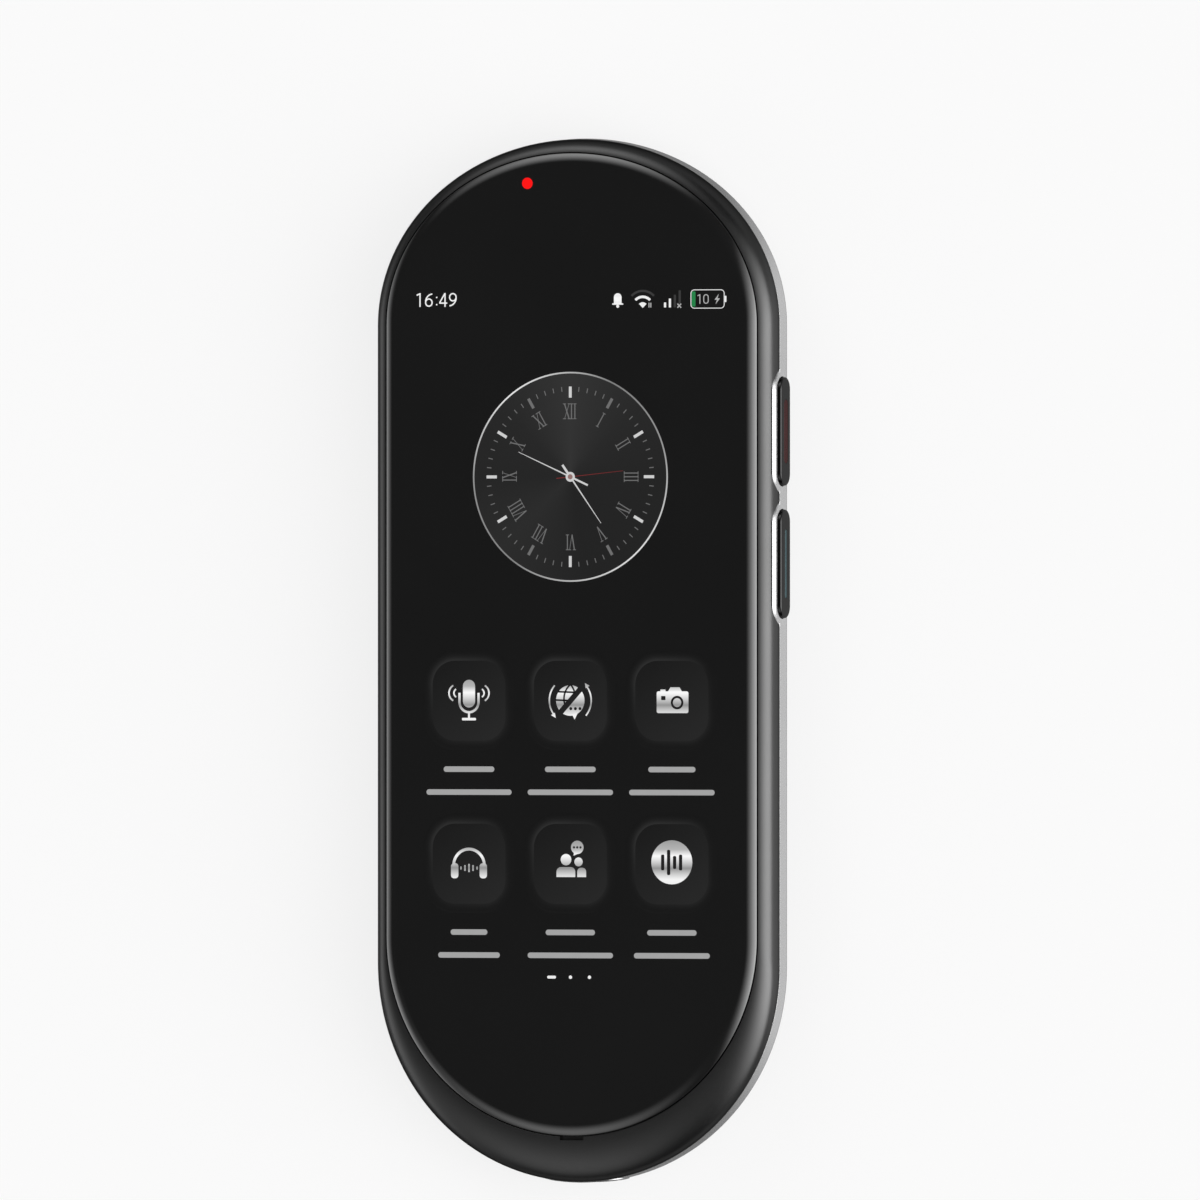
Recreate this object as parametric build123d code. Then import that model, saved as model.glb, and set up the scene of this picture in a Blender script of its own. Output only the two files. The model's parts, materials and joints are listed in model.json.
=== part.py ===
from build123d import *
from collections import namedtuple
from math import asin, atan, cos, hypot, radians, sin
import os

# Handheld translator: a capsule-shaped slab with a glass front over a touch display, a silver band
# round its side, two talk keys on one flank, a power key and a SIM tray on the other.
# Frame: it lies on its back. +Z comes out of the screen, +Y points to the top end and +X to the
# flank with the talk keys. The origin is on the flat back face, midway along its length and width.
# All sizes are in millimetres.

os.makedirs("parts", exist_ok=True)

THICKNESS = 12.0

# ---------------------------------------------------------------------------------------------
# Capsule outlines: two straight sides, each end closed by half an ellipse
# ---------------------------------------------------------------------------------------------

Outline = namedtuple("Outline", "half_width top_y top_rise bottom_y bottom_drop")

BODY = Outline(half_width=27.35, top_y=42.4, top_rise=23.6, bottom_y=-38.7, bottom_drop=27.3)
GLASS = Outline(half_width=25.2, top_y=42.5, top_rise=21.6, bottom_y=-35.1, bottom_drop=24.95)
BAND_TAPER = 0.11
GLASS_GAP = 0.12


def inset(outline, amount):
    """The outline drawn in by the same amount all round."""
    return Outline(
        outline.half_width - amount,
        outline.top_y,
        outline.top_rise - amount,
        outline.bottom_y,
        outline.bottom_drop - amount,
    )


def between(inner, outer, share):
    """The outline that lies the given share of the way from inner to outer."""
    return Outline(*(a + (b - a) * share for a, b in zip(inner, outer)))


def outline_face(outline, z):
    """Flat face bounded by the outline, at height z."""
    w = outline.half_width
    edges = [
        Line((w, outline.bottom_y), (w, outline.top_y)),
        EllipticalCenterArc((0, outline.top_y), w, outline.top_rise, 0, arc_size=180),
        Line((-w, outline.top_y), (-w, outline.bottom_y)),
        EllipticalCenterArc((0, outline.bottom_y), w, outline.bottom_drop, 180, arc_size=180),
    ]
    return Pos(0, 0, z) * make_face(edges)


def prism(outline, z_low, z_high):
    """Straight-walled solid over the outline."""
    return extrude(outline_face(outline, z_low), amount=z_high - z_low)


def ring(outer, inner, z_low, z_high):
    """Straight-walled ring between two outlines."""
    return prism(outer, z_low, z_high) - prism(inner, z_low, z_high)


BAND_FRONT = inset(BODY, BAND_TAPER)
GLASS_POCKET = inset(GLASS, -GLASS_GAP)

# ---------------------------------------------------------------------------------------------
# Heights of the layers, from the back face (z = 0) to the top of the glass
# ---------------------------------------------------------------------------------------------

GLASS_THICK = 1.1
GLASS_LOW = THICKNESS - GLASS_THICK
GLUE = 0.15
DECK_HIGH = GLASS_LOW - GLUE
DECK_THICK = 0.85
DECK_LOW = DECK_HIGH - DECK_THICK
RIM_HIGH = THICKNESS - 0.55
BAND_HIGH = 8.8
BAND_LOW = 6.65
PLATE_HIGH = 7.9
PLATE_LOW = 7.3
PANEL_THICK = 2.3
PANEL_LOW = DECK_HIGH - PANEL_THICK
BOARD_HIGH = 5.7
BOARD_LOW = 4.9
SUB_BOARD_HIGH = 4.62
SUB_BOARD_LOW = 3.82
COVER_HIGH = 6.6
COVER_WALL = 1.3

# Walls, measured inwards from the body outline
BAND_WALL = 1.45
SKIRT_OUT = 1.5
SKIRT_IN = 2.75

# Display module and its window, centred a little above the middle of the body
PANEL_WIDTH = 46.4
PANEL_LENGTH = 93.2
PANEL_RADIUS = 2.6
PANEL_Y = 2.4
PANEL_CLEAR = 0.25

# Talk keys on the +X flank
KEY_Y = {"upper": 28.9, "lower": 12.2}
KEY_Z = 8.2
KEY_LENGTH = 13.7
KEY_WIDTH = 3.1
KEY_PROUD = 0.5
KEY_CLEAR = 0.1

# Power key and SIM tray on the -X flank
POWER_Y = 36.0
POWER_Z = 7.0
POWER_LENGTH = 9.0
POWER_WIDTH = 2.0
POWER_PROUD = 0.4
TRAY_Y = 18.0
TRAY_Z = 6.4
DOOR_LENGTH = 13.0
DOOR_WIDTH = 2.0
DOOR_DEPTH = 1.15
TRAY_WIDTH = 10.4
TRAY_THICK = 0.9
TRAY_END_X = -11.9
EJECT_RADIUS = 0.45

# USB-C receptacle at the chin
USB_Z = 6.25
USB_WIDTH = 8.94
USB_HEIGHT = 3.26
USB_DEPTH = 7.35
USB_WALL = 0.3
USB_MOUTH_Y = -65.2

# Lights and sound
LED_X = -5.8
LED_Y = 60.3
LIGHT_PIPE_RADIUS = 0.72
MIC_SLOT_Y = -60.3
SPEAKER_Y = -43.75
CAMERA_Y = 47.5
CAMERA_X = -4.5
FLASH_X = 6.5

# Battery, between the back cover and the plate of the mid frame
BATTERY_LOW = 1.9
BATTERY_HIGH = 7.15
BATTERY_Y = (-35.6, 3.2)
BATTERY_HALF = 19.5

INNER_WALL_X = BODY.half_width - BAND_WALL


def box_between(x, y, z):
    """Box from three (low, high) pairs."""
    size = Box(x[1] - x[0], y[1] - y[0], z[1] - z[0])
    return Pos((x[0] + x[1]) / 2, (y[0] + y[1]) / 2, (z[0] + z[1]) / 2) * size


def post(radius, x, y, z_low, z_high):
    """Upright round post."""
    return Pos(x, y, (z_low + z_high) / 2) * Cylinder(radius, z_high - z_low)


def faceted_post(radius, x, y, z_low, z_high):
    """Upright post with twelve flats, for small pieces that are many."""
    return Pos(x, y, z_low) * extrude(RegularPolygon(radius, 12), amount=z_high - z_low)


def slot_through_side(length, width, x_low, x_high, y, z):
    """Round-ended bar that runs along X, with its long side along Y."""
    face = Plane.YZ * SlotOverall(length, width)
    return Pos(x_low, y, z) * extrude(face, amount=x_high - x_low)


def slot_through_chin(length, width, y_low, y_high, z):
    """Round-ended bar that runs along Y, with its long side along X."""
    face = Plane.XZ * SlotOverall(length, width)
    return Pos(0, y_high, z) * extrude(face, amount=y_high - y_low)


def ribbon(points, bend, thickness, width, plane):
    """Flat flexible circuit: a bent strip of even thickness, centred on the plane."""
    strip = trace(FilletPolyline(*points, radius=bend), thickness)
    return extrude(plane * strip, amount=width / 2, both=True)


# ---------------------------------------------------------------------------------------------
# Pads of the band: raised ovals round each key, the tray and the USB mouth
# ---------------------------------------------------------------------------------------------

PAD_STRAIGHT = 5.3
PAD_END = 2.55
PAD_HALF_HEIGHT = 2.25
PAD_CHAMFER = 0.38
PAD_SEAM = 0.05


def talk_pad(side, grow=0.0):
    """Oval pad round a talk key, long side along Y, as a bar along X."""
    end = PAD_END + grow
    half = PAD_HALF_HEIGHT + grow
    edges = [
        Line((-PAD_STRAIGHT, -half), (PAD_STRAIGHT, -half)),
        EllipticalCenterArc((PAD_STRAIGHT, 0), end, half, -90, arc_size=180),
        Line((PAD_STRAIGHT, half), (-PAD_STRAIGHT, half)),
        EllipticalCenterArc((-PAD_STRAIGHT, 0), end, half, 90, arc_size=180),
    ]
    length = BODY.half_width - INNER_WALL_X
    pad = extrude(Plane.YZ * make_face(edges), amount=length + grow)
    if not grow:
        pad = chamfer(pad.faces().sort_by(Axis.X)[-1].edges(), PAD_CHAMFER)
    return Pos(INNER_WALL_X - grow, KEY_Y[side], KEY_Z) * pad


def power_pad(grow=0.0):
    """Low pad round the power key, on the rear half of the band."""
    length = POWER_LENGTH + 1.6 + 2 * grow
    return slot_through_side(
        length, 3.3 + 2 * grow, -BODY.half_width - grow, -INNER_WALL_X + grow, POWER_Y, POWER_Z
    )


def tray_pad(grow=0.0):
    """Low pad round the door of the SIM tray."""
    length = DOOR_LENGTH + 1.6 + 2 * grow
    return slot_through_side(
        length, 3.4 + 2 * grow, -BODY.half_width - grow, -INNER_WALL_X + grow, TRAY_Y, TRAY_Z
    )


def usb_pad(grow=0.0):
    """Pad round the USB mouth, cut to the curve of the chin."""
    bar = slot_through_chin(USB_WIDTH + 2.4 + 2 * grow, USB_HEIGHT + 1.2 + 2 * grow, -70, -60, USB_Z)
    wall = ring(inset(BODY, -grow), inset(BODY, BAND_WALL + grow), 3.0, BAND_HIGH)
    return bar & wall


def all_pads(grow=0.0):
    return [talk_pad("upper", grow), talk_pad("lower", grow), power_pad(grow), tray_pad(grow), usb_pad(grow)]


# ---------------------------------------------------------------------------------------------
# Front: glass, rim, display
# ---------------------------------------------------------------------------------------------

GLASS_EDGE_WIDTH = 1.4
GLASS_EDGE_DROP = 0.42
GLASS_STEPS = 4
RIM_STEPS = 3


def cover_glass():
    """Cover glass with a curved edge: a shallow arc that meets the flat face without a step."""
    arc_radius = (GLASS_EDGE_WIDTH**2 + GLASS_EDGE_DROP**2) / (2 * GLASS_EDGE_DROP)
    steepest = asin(GLASS_EDGE_WIDTH / arc_radius)
    sections = []
    for step in range(GLASS_STEPS + 1):
        angle = steepest * (1 - step / GLASS_STEPS)
        drop = arc_radius * (1 - cos(angle))
        drawn_in = GLASS_EDGE_WIDTH - arc_radius * sin(angle)
        sections.append(outline_face(inset(GLASS, drawn_in), THICKNESS - drop))
    edge_z = THICKNESS - GLASS_EDGE_DROP
    return prism(GLASS, GLASS_LOW, edge_z) + loft(sections)


def panel_window(clear, z_low, z_high):
    """Rounded block in the place of the display module, larger by clear on each side."""
    radius = max(PANEL_RADIUS + clear, 0.5)
    face = RectangleRounded(PANEL_WIDTH + 2 * clear, PANEL_LENGTH + 2 * clear, radius)
    return Pos(0, PANEL_Y, z_low) * extrude(face, amount=z_high - z_low)


def front_rim():
    """Dark rim round the glass, convex and widest at the chin, with the deck under the glass."""
    sections = []
    for step in range(RIM_STEPS + 1):
        angle = radians(90 * step / RIM_STEPS)
        z = BAND_HIGH + (RIM_HIGH - BAND_HIGH) * cos(angle)
        sections.append(outline_face(between(GLASS_POCKET, BAND_FRONT, sin(angle)), z))
    rim = loft(sections)
    skirt_low = PLATE_HIGH + 0.05
    rim += prism(inset(BODY, SKIRT_OUT), skirt_low, BAND_HIGH)
    rim -= prism(inset(BODY, SKIRT_IN), skirt_low, DECK_LOW)
    rim -= prism(GLASS_POCKET, DECK_HIGH, THICKNESS)
    rim -= panel_window(PANEL_CLEAR, DECK_LOW, DECK_HIGH)
    rim -= post(LIGHT_PIPE_RADIUS + 0.1, LED_X, LED_Y, DECK_LOW, DECK_HIGH)
    rim -= mic_slot()
    for side in KEY_Y:
        rim -= talk_pad(side, PAD_SEAM)
        rim -= key_flange_room(side)
    reach = POWER_LENGTH / 2 + 0.4
    rim -= box_between((-INNER_WALL_X, -24), (POWER_Y - reach, POWER_Y + reach), (PLATE_HIGH, POWER_Z + 1.2))
    return rim


def mic_slot():
    """Slot in the rim at the lower edge of the glass, with the sound hole under it."""
    slot = box_between((-1.6, 1.6), (MIC_SLOT_Y - 0.3, MIC_SLOT_Y + 0.3), (DECK_HIGH - 0.3, THICKNESS))
    return slot + post(0.45, 0, MIC_SLOT_Y, DECK_LOW, DECK_HIGH)


def glass_adhesive():
    """Black adhesive between the deck and the glass, cut out round the display and the light."""
    sheet = prism(inset(GLASS, 0.3), DECK_HIGH, GLASS_LOW)
    sheet -= panel_window(PANEL_CLEAR, DECK_HIGH, GLASS_LOW)
    return sheet - post(LIGHT_PIPE_RADIUS + 0.1, LED_X, LED_Y, DECK_HIGH, GLASS_LOW)


def optical_adhesive():
    """Clear adhesive that bonds the display to the glass."""
    return panel_window(-0.4, DECK_HIGH, GLASS_LOW)


BACKLIGHT_THICK = 1.2
BACKLIGHT_STEP = 0.35


def display_panel():
    """Display module: the cell with its polarisers, on a slightly larger backlight tray."""
    tray = panel_window(0, PANEL_LOW, PANEL_LOW + BACKLIGHT_THICK)
    cell = panel_window(-BACKLIGHT_STEP, PANEL_LOW + BACKLIGHT_THICK, DECK_HIGH)
    return tray + cell


def display_foam():
    """Foam frame between the display and the plate of the mid frame."""
    return panel_window(-0.6, PLATE_HIGH, PANEL_LOW) - panel_window(-4.0, PLATE_HIGH, PANEL_LOW)


DISPLAY_FLEX_WIDTH = 18.0
FLEX_SLOT_Y = 51.0


def display_flex():
    """Flexible circuit from the top of the display, down through the plate to the main board."""
    z_start = PANEL_LOW + 0.4
    panel_top = PANEL_Y + PANEL_LENGTH / 2
    points = [(panel_top, z_start), (FLEX_SLOT_Y, z_start), (FLEX_SLOT_Y, BOARD_HIGH + 0.1)]
    points.append((FLEX_SLOT_Y - 4.5, BOARD_HIGH + 0.1))
    return ribbon(points, 0.6, 0.2, DISPLAY_FLEX_WIDTH, Plane.YZ)


# ---------------------------------------------------------------------------------------------
# Mid frame: band, pads, plate and screw bosses in one aluminium casting
# ---------------------------------------------------------------------------------------------

MAIN_SCREWS = [(18.5, 50.0), (-18.5, 50.0), (20.5, 30.0), (-20.5, 28.6), (-9.0, 8.6), (16.3, 8.6)]
SUB_SCREWS = [(15.0, -54.0), (-15.0, -54.0)]
BRACKET_SCREWS = [(20.6, 5.8), (20.6, 35.2), (-20.6, POWER_Y)]
BOSS_RADIUS = 1.6
TAP_RADIUS = 0.7
TAB_THICK = 0.4
CLIP_Y = [-30.0, -8.0]
CLIP_LENGTH = 4.0
CLIP_Z = 7.0


def key_flange_room(side):
    """Room for the ears of a talk key behind the band."""
    y = KEY_Y[side]
    return box_between((24.0, INNER_WALL_X), (y - 8.6, y + 8.6), (6.5, 9.95))


def clip_bar(reach, height, margin=0.0):
    """The four snap clips of the back cover as bars on the long sides, or their pockets."""
    half = CLIP_LENGTH / 2 + margin
    bars = []
    for y in CLIP_Y:
        for side in (-1, 1):
            x = sorted((side * (INNER_WALL_X - 0.2), side * (INNER_WALL_X + reach)))
            bars.append(box_between(x, (y - half, y + half), (CLIP_Z - height / 2, CLIP_Z + height / 2)))
    return bars


def mid_frame():
    """Silver band with its pads, the plate behind the display and the bosses for the boards."""
    shell = loft([outline_face(BODY, BAND_LOW), outline_face(BAND_FRONT, BAND_HIGH)])
    shell -= prism(inset(BODY, BAND_WALL), BAND_LOW, BAND_HIGH)
    plate = prism(inset(BODY, BAND_WALL - 0.1), PLATE_LOW, PLATE_HIGH)
    plate -= box_between((22.6, 30), (3.3, 38.2), (PLATE_LOW, PLATE_HIGH))
    plate -= box_between((-30, -22.6), (POWER_Y - 6.8, POWER_Y + 6.8), (PLATE_LOW, PLATE_HIGH))
    frame = shell + plate
    for pad in all_pads():
        frame += pad
    for x, y in MAIN_SCREWS:
        frame += post(BOSS_RADIUS, x, y, BOARD_HIGH, PLATE_LOW)
        frame -= post(TAP_RADIUS, x, y, BOARD_HIGH, PLATE_HIGH)
    for x, y in SUB_SCREWS:
        frame += post(BOSS_RADIUS, x, y, SUB_BOARD_HIGH, PLATE_LOW)
        frame -= post(TAP_RADIUS, x, y, SUB_BOARD_HIGH, PLATE_HIGH)
    for x, y in BRACKET_SCREWS:
        frame -= post(TAP_RADIUS, x, y, PLATE_LOW, PLATE_HIGH)
    for side in KEY_Y:
        frame -= slot_through_side(
            KEY_LENGTH + 2 * KEY_CLEAR, KEY_WIDTH + 2 * KEY_CLEAR, 25, 28, KEY_Y[side], KEY_Z
        )
    frame -= slot_through_side(
        POWER_LENGTH + 2 * KEY_CLEAR, POWER_WIDTH + 2 * KEY_CLEAR, -28, -25, POWER_Y, POWER_Z
    )
    frame -= tray_opening()
    frame -= usb_opening()
    frame -= post(LIGHT_PIPE_RADIUS + 0.2, LED_X, LED_Y, PLATE_LOW, PLATE_HIGH)
    flex_half = DISPLAY_FLEX_WIDTH / 2 + 0.5
    flex_slot_y = (FLEX_SLOT_Y - 0.9, FLEX_SLOT_Y + 0.6)
    frame -= box_between((-flex_half, flex_half), flex_slot_y, (PLATE_LOW, PLATE_HIGH))
    for pocket in clip_bar(0.35, 0.6, 0.3):
        frame -= pocket
    return frame


def tray_opening():
    """Recess for the door of the SIM tray and the slot behind it."""
    recess_x = -BODY.half_width + DOOR_DEPTH + 0.05
    recess = slot_through_side(
        DOOR_LENGTH + 2 * KEY_CLEAR, DOOR_WIDTH + 2 * KEY_CLEAR, -28, recess_x, TRAY_Y, TRAY_Z
    )
    half = TRAY_WIDTH / 2 + 0.15
    half_high = TRAY_THICK / 2 + 0.1
    blade_y = (TRAY_Y - half, TRAY_Y + half)
    return recess + box_between((-28, -25), blade_y, (TRAY_Z - half_high, TRAY_Z + half_high))


def usb_opening():
    """Round-ended opening for the receptacle, and its notch in the plate."""
    mouth = slot_through_chin(USB_WIDTH + 0.2, USB_HEIGHT + 0.2, -70, -60, USB_Z)
    half = USB_WIDTH / 2 + 0.6
    notch_y = (USB_MOUTH_Y + 0.7, USB_MOUTH_Y + USB_DEPTH + 0.4)
    return mouth + box_between((-half, half), notch_y, (PLATE_LOW, PLATE_HIGH))


# ---------------------------------------------------------------------------------------------
# Back cover
# ---------------------------------------------------------------------------------------------

BACK_LEAN = 0.42
BACK_OVAL = 0.5
BACK_ANGLE = atan(BACK_OVAL / BACK_LEAN)
BACK_HEIGHT = COVER_HIGH / (1 - cos(BACK_ANGLE))
BACK_STEPS = 4
WINDOW_LENGTH = 24.0
WINDOW_WIDTH = 11.0
WINDOW_DEPTH = 0.9
LENS_HOLE = 3.5
RING_RADIUS = 4.2
FLASH_RADIUS = 1.6
SPEAKER_SLOTS = 9
SPEAKER_PITCH = 2.4
SLOT_WIDTH = 1.1
SLOT_LONGEST = 8.0


def bowl(wall):
    """Solid of the back cover's outer form, or of its hollow when wall is the wall's thickness.

    The side is part of an ellipse, BACK_OVAL times as wide as high. It leaves the flat back without
    a step and still leans by BACK_LEAN for each mm of height where it meets the band.
    """
    sections = []
    for step in range(BACK_STEPS + 1):
        angle = BACK_ANGLE * step / BACK_STEPS
        slope = hypot(sin(angle), BACK_OVAL * cos(angle))
        drawn_in = BACK_OVAL * BACK_HEIGHT * (sin(BACK_ANGLE) - sin(angle)) + wall * sin(angle) / slope
        z = BACK_HEIGHT * (1 - cos(angle)) + wall * BACK_OVAL * cos(angle) / slope
        sections.append(outline_face(inset(BODY, drawn_in), z))
    return loft(sections)


def speaker_slots():
    """Row of upright slots that shorten towards both ends of the row."""
    slots = []
    middle = (SPEAKER_SLOTS - 1) / 2
    for index in range(SPEAKER_SLOTS):
        off = (index - middle) / (middle + 1)
        length = SLOT_LONGEST * (1 - off**2) ** 0.5
        face = Rot(0, 0, 90) * SlotOverall(length, SLOT_WIDTH)
        x = (index - middle) * SPEAKER_PITCH
        slots.append(Pos(x, SPEAKER_Y, -1) * extrude(face, amount=COVER_WALL + 2))
    return slots


def back_cover():
    """Dark rear shell: bowl-shaped wall, lip with snap clips, camera recess and speaker slots."""
    lip_in = inset(BODY, 2.4)
    cover = bowl(0.0) + prism(inset(BODY, SKIRT_OUT), COVER_HIGH, PLATE_LOW - 0.1)
    cover -= bowl(COVER_WALL) & prism(lip_in, 0, COVER_HIGH)
    cover -= prism(lip_in, COVER_HIGH, PLATE_LOW)
    for pad in all_pads(PAD_SEAM):
        cover -= pad
    for side in KEY_Y:
        cover -= key_flange_room(side)
    cover -= box_between((-INNER_WALL_X, -24), (POWER_Y - 6.8, POWER_Y + 6.8), (5.9, 7.5))
    cover -= box_between((-26.2, -24), (TRAY_Y - 7.3, TRAY_Y + 7.3), (5.4, 7.5))
    usb_half = USB_WIDTH / 2 + 0.6
    cover -= box_between((-usb_half, usb_half), (USB_MOUTH_Y, -60), (USB_Z - USB_HEIGHT / 2 - 0.15, 7.5))
    for clip in clip_bar(0.25, 0.4):
        cover += clip
    window = SlotOverall(WINDOW_LENGTH, WINDOW_WIDTH)
    cover -= Pos(0, CAMERA_Y, 0) * extrude(window, amount=WINDOW_DEPTH)
    cover -= post(LENS_HOLE, CAMERA_X, CAMERA_Y, 0, COVER_WALL)
    cover -= post(FLASH_RADIUS, FLASH_X, CAMERA_Y, 0, COVER_WALL)
    for slot in speaker_slots():
        cover -= slot
    for y in (-30.0, -16.0, -2.0):
        cover += box_between((-18, 18), (y - 0.4, y + 0.4), (COVER_WALL - 0.1, BATTERY_LOW))
    return cover


# ---------------------------------------------------------------------------------------------
# Talk keys with their inlays, switches, flexible circuit and bracket
# ---------------------------------------------------------------------------------------------

KEY_FACE_X = BODY.half_width + KEY_PROUD
EAR_LENGTH = 16.4
EAR_WIDTH = 2.5
EAR_THICK = 0.7
EAR_X = INNER_WALL_X - 0.05
PLUNGER_X = 24.45
PLUNGER_Z = 7.7
INLAY_DEPTH = 0.3
INLAY = {"upper": (8.1, 1.3), "lower": (8.7, 0.6)}
SWITCH_X = (23.3, 24.1)
ACTUATOR_HIGH = 0.25
FLEX_X = (23.15, 23.3)
BRACKET_X = (22.65, 23.15)


def key_body(y, z, length, width, face_x, plunger_z):
    """Press key for the +X flank: rounded cap, ears that hold it in, and a plunger."""
    cap = slot_through_side(length, width, EAR_X - EAR_THICK, face_x, y, z)
    cap = fillet(cap.faces().sort_by(Axis.X)[-1].edges(), 0.28)
    ear_reach = EAR_LENGTH - KEY_LENGTH
    ears = box_between(
        (EAR_X - EAR_THICK, EAR_X),
        (y - (length + ear_reach) / 2, y + (length + ear_reach) / 2),
        (z - EAR_WIDTH / 2, z + EAR_WIDTH / 2),
    )
    plunger = box_between((PLUNGER_X, EAR_X), (y - 1.0, y + 1.0), (plunger_z - 0.6, plunger_z + 0.6))
    return cap + ears + plunger


def inlay_bar(side):
    """Coloured bar let into the face of a talk key."""
    length, width = INLAY[side]
    return slot_through_side(length, width, KEY_FACE_X - INLAY_DEPTH, KEY_FACE_X, KEY_Y[side], KEY_Z)


def talk_key(side):
    key = key_body(KEY_Y[side], KEY_Z, KEY_LENGTH, KEY_WIDTH, KEY_FACE_X, PLUNGER_Z)
    return key - inlay_bar(side)


def side_switch(y, z, height):
    """Low push switch: housing and round actuator, drawn as it is when pressed."""
    housing_x = (SWITCH_X[0], SWITCH_X[1] - ACTUATOR_HIGH)
    housing = box_between(housing_x, (y - 1.7, y + 1.7), (z - height / 2, z + height / 2))
    actuator = extrude(Plane.YZ * Circle(0.55), amount=ACTUATOR_HIGH)
    return housing + Pos(housing_x[1], y, z) * actuator


def talk_key_switches():
    return [side_switch(KEY_Y[side], 7.65, 1.5) for side in KEY_Y]


def talk_key_flex():
    """Flexible circuit behind the switches, with a tail folded in over the main board."""
    strip = box_between(FLEX_X, (5.0, 36.0), (6.7, 8.4))
    middle = (FLEX_X[0] + FLEX_X[1]) / 2
    path = [(middle, 6.9), (middle, BOARD_HIGH + 0.08), (19.6, BOARD_HIGH + 0.08)]
    tail = Pos(0, 20.5, 0) * ribbon(path, 0.3, FLEX_X[1] - FLEX_X[0], 5.0, Plane.XZ)
    return strip + tail


def talk_key_bracket():
    """Folded steel bracket that backs the switches and is screwed to the plate at both ends."""
    bracket = box_between(BRACKET_X, (4.0, 37.0), (6.5, 8.4))
    for x, y in BRACKET_SCREWS[:2]:
        bracket += bracket_tab(x, y)
    return bracket


def bracket_tab(x, y):
    """Tab that lies under the plate, with the hole for its screw."""
    tab = box_between((x - 1.6, BRACKET_X[1]), (y - 1.7, y + 1.7), (PLATE_LOW - TAB_THICK, PLATE_LOW))
    return tab - post(BOARD_HOLE_RADIUS, x, y, PLATE_LOW - TAB_THICK, PLATE_LOW)


# ---------------------------------------------------------------------------------------------
# Power key, SIM tray and reader
# ---------------------------------------------------------------------------------------------


def power_key():
    key = key_body(POWER_Y, POWER_Z, POWER_LENGTH, POWER_WIDTH, BODY.half_width + POWER_PROUD, POWER_Z)
    cut = box_between((20, EAR_X), (POWER_Y - 9, POWER_Y + 9), (POWER_Z + 0.8, POWER_Z + 2))
    cut += box_between((20, EAR_X), (POWER_Y - 9, POWER_Y + 9), (POWER_Z - 2, POWER_Z - 0.8))
    ears_trimmed = key - cut
    return mirror(ears_trimmed, Plane.YZ)


def power_key_switch():
    return mirror(side_switch(POWER_Y, POWER_Z, 1.4), Plane.YZ)


def power_key_flex():
    strip = box_between(FLEX_X, (POWER_Y - 5, POWER_Y + 5), (6.2, 7.8))
    middle = (FLEX_X[0] + FLEX_X[1]) / 2
    path = [(middle, 6.5), (middle, BOARD_HIGH + 0.08), (19.6, BOARD_HIGH + 0.08)]
    tail = Pos(0, POWER_Y, 0) * ribbon(path, 0.3, FLEX_X[1] - FLEX_X[0], 4.0, Plane.XZ)
    return mirror(strip + tail, Plane.YZ)


def power_key_bracket():
    """Short steel bracket behind the power key's switch, screwed to the plate by one tab."""
    wall = box_between(BRACKET_X, (POWER_Y - 5.5, POWER_Y + 5.5), (6.3, 8.3))
    screw_x, screw_y = BRACKET_SCREWS[2]
    return mirror(wall + bracket_tab(-screw_x, screw_y), Plane.YZ)


def sim_tray():
    """Tray with its door: a thin frame round the card's pocket, with the eject hole in the door."""
    face_x = -BODY.half_width
    door = slot_through_side(DOOR_LENGTH, DOOR_WIDTH, face_x, face_x + DOOR_DEPTH, TRAY_Y, TRAY_Z)
    half = TRAY_WIDTH / 2
    z = (TRAY_Z - TRAY_THICK / 2, TRAY_Z + TRAY_THICK / 2)
    blade = box_between((face_x + DOOR_DEPTH, TRAY_END_X), (TRAY_Y - half, TRAY_Y + half), z)
    pocket = box_between((-24.9, -12.6), (TRAY_Y - 4.4, TRAY_Y + 4.4), (z[0] + 0.2, z[1]))
    window = box_between((-23.4, -14.1), (TRAY_Y - 2.9, TRAY_Y + 2.9), z)
    eject = Pos(face_x, TRAY_Y + 5.6, TRAY_Z) * Rot(0, 90, 0) * Cylinder(EJECT_RADIUS, 2 * DOOR_DEPTH)
    return door + blade - pocket - window - eject


READER_X = (-25.2, -10.4)
READER_WALL = 0.2
READER_CLEAR = 0.12


def sim_reader():
    """Sheet-metal card reader: a flat sleeve open towards the side of the body."""
    half = TRAY_WIDTH / 2 + READER_CLEAR
    z = (TRAY_Z - TRAY_THICK / 2 - READER_CLEAR, TRAY_Z + TRAY_THICK / 2 + READER_CLEAR)
    outside = box_between(
        READER_X,
        (TRAY_Y - half - READER_WALL, TRAY_Y + half + READER_WALL),
        (BOARD_HIGH, z[1] + READER_WALL),
    )
    hollow = box_between((READER_X[0], READER_X[1] - 1.2), (TRAY_Y - half, TRAY_Y + half), z)
    return outside - hollow


# ---------------------------------------------------------------------------------------------
# Boards, battery and what sits on them
# ---------------------------------------------------------------------------------------------

SHIELD_CANS = [((-6.5, 13.5), (8.4, 26.8)), ((-16.8, 2.0), (31.0, 45.0)), ((5.0, 17.4), (31.0, 43.0))]
SHIELD_HIGH = 7.1
LINK_X = -16.6
LINK_WIDTH = 2.6
BOARD_HOLE_RADIUS = 0.8
SCREW_HEAD_RADIUS = 1.25
SCREW_HEAD_HIGH = 0.5
SCREW_RADIUS = 0.65


def board_slab(y_low, y_high, z_low, z_high):
    """Circuit board that follows the inside of the body between two cross lines."""
    return prism(inset(BODY, 4.0), z_low, z_high) & box_between((-30, 30), (y_low, y_high), (z_low, z_high))


def main_board():
    board = board_slab(6.2, 62.0, BOARD_LOW, BOARD_HIGH)
    for x, y in MAIN_SCREWS:
        board -= post(BOARD_HOLE_RADIUS, x, y, BOARD_LOW, BOARD_HIGH)
    return board


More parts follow.
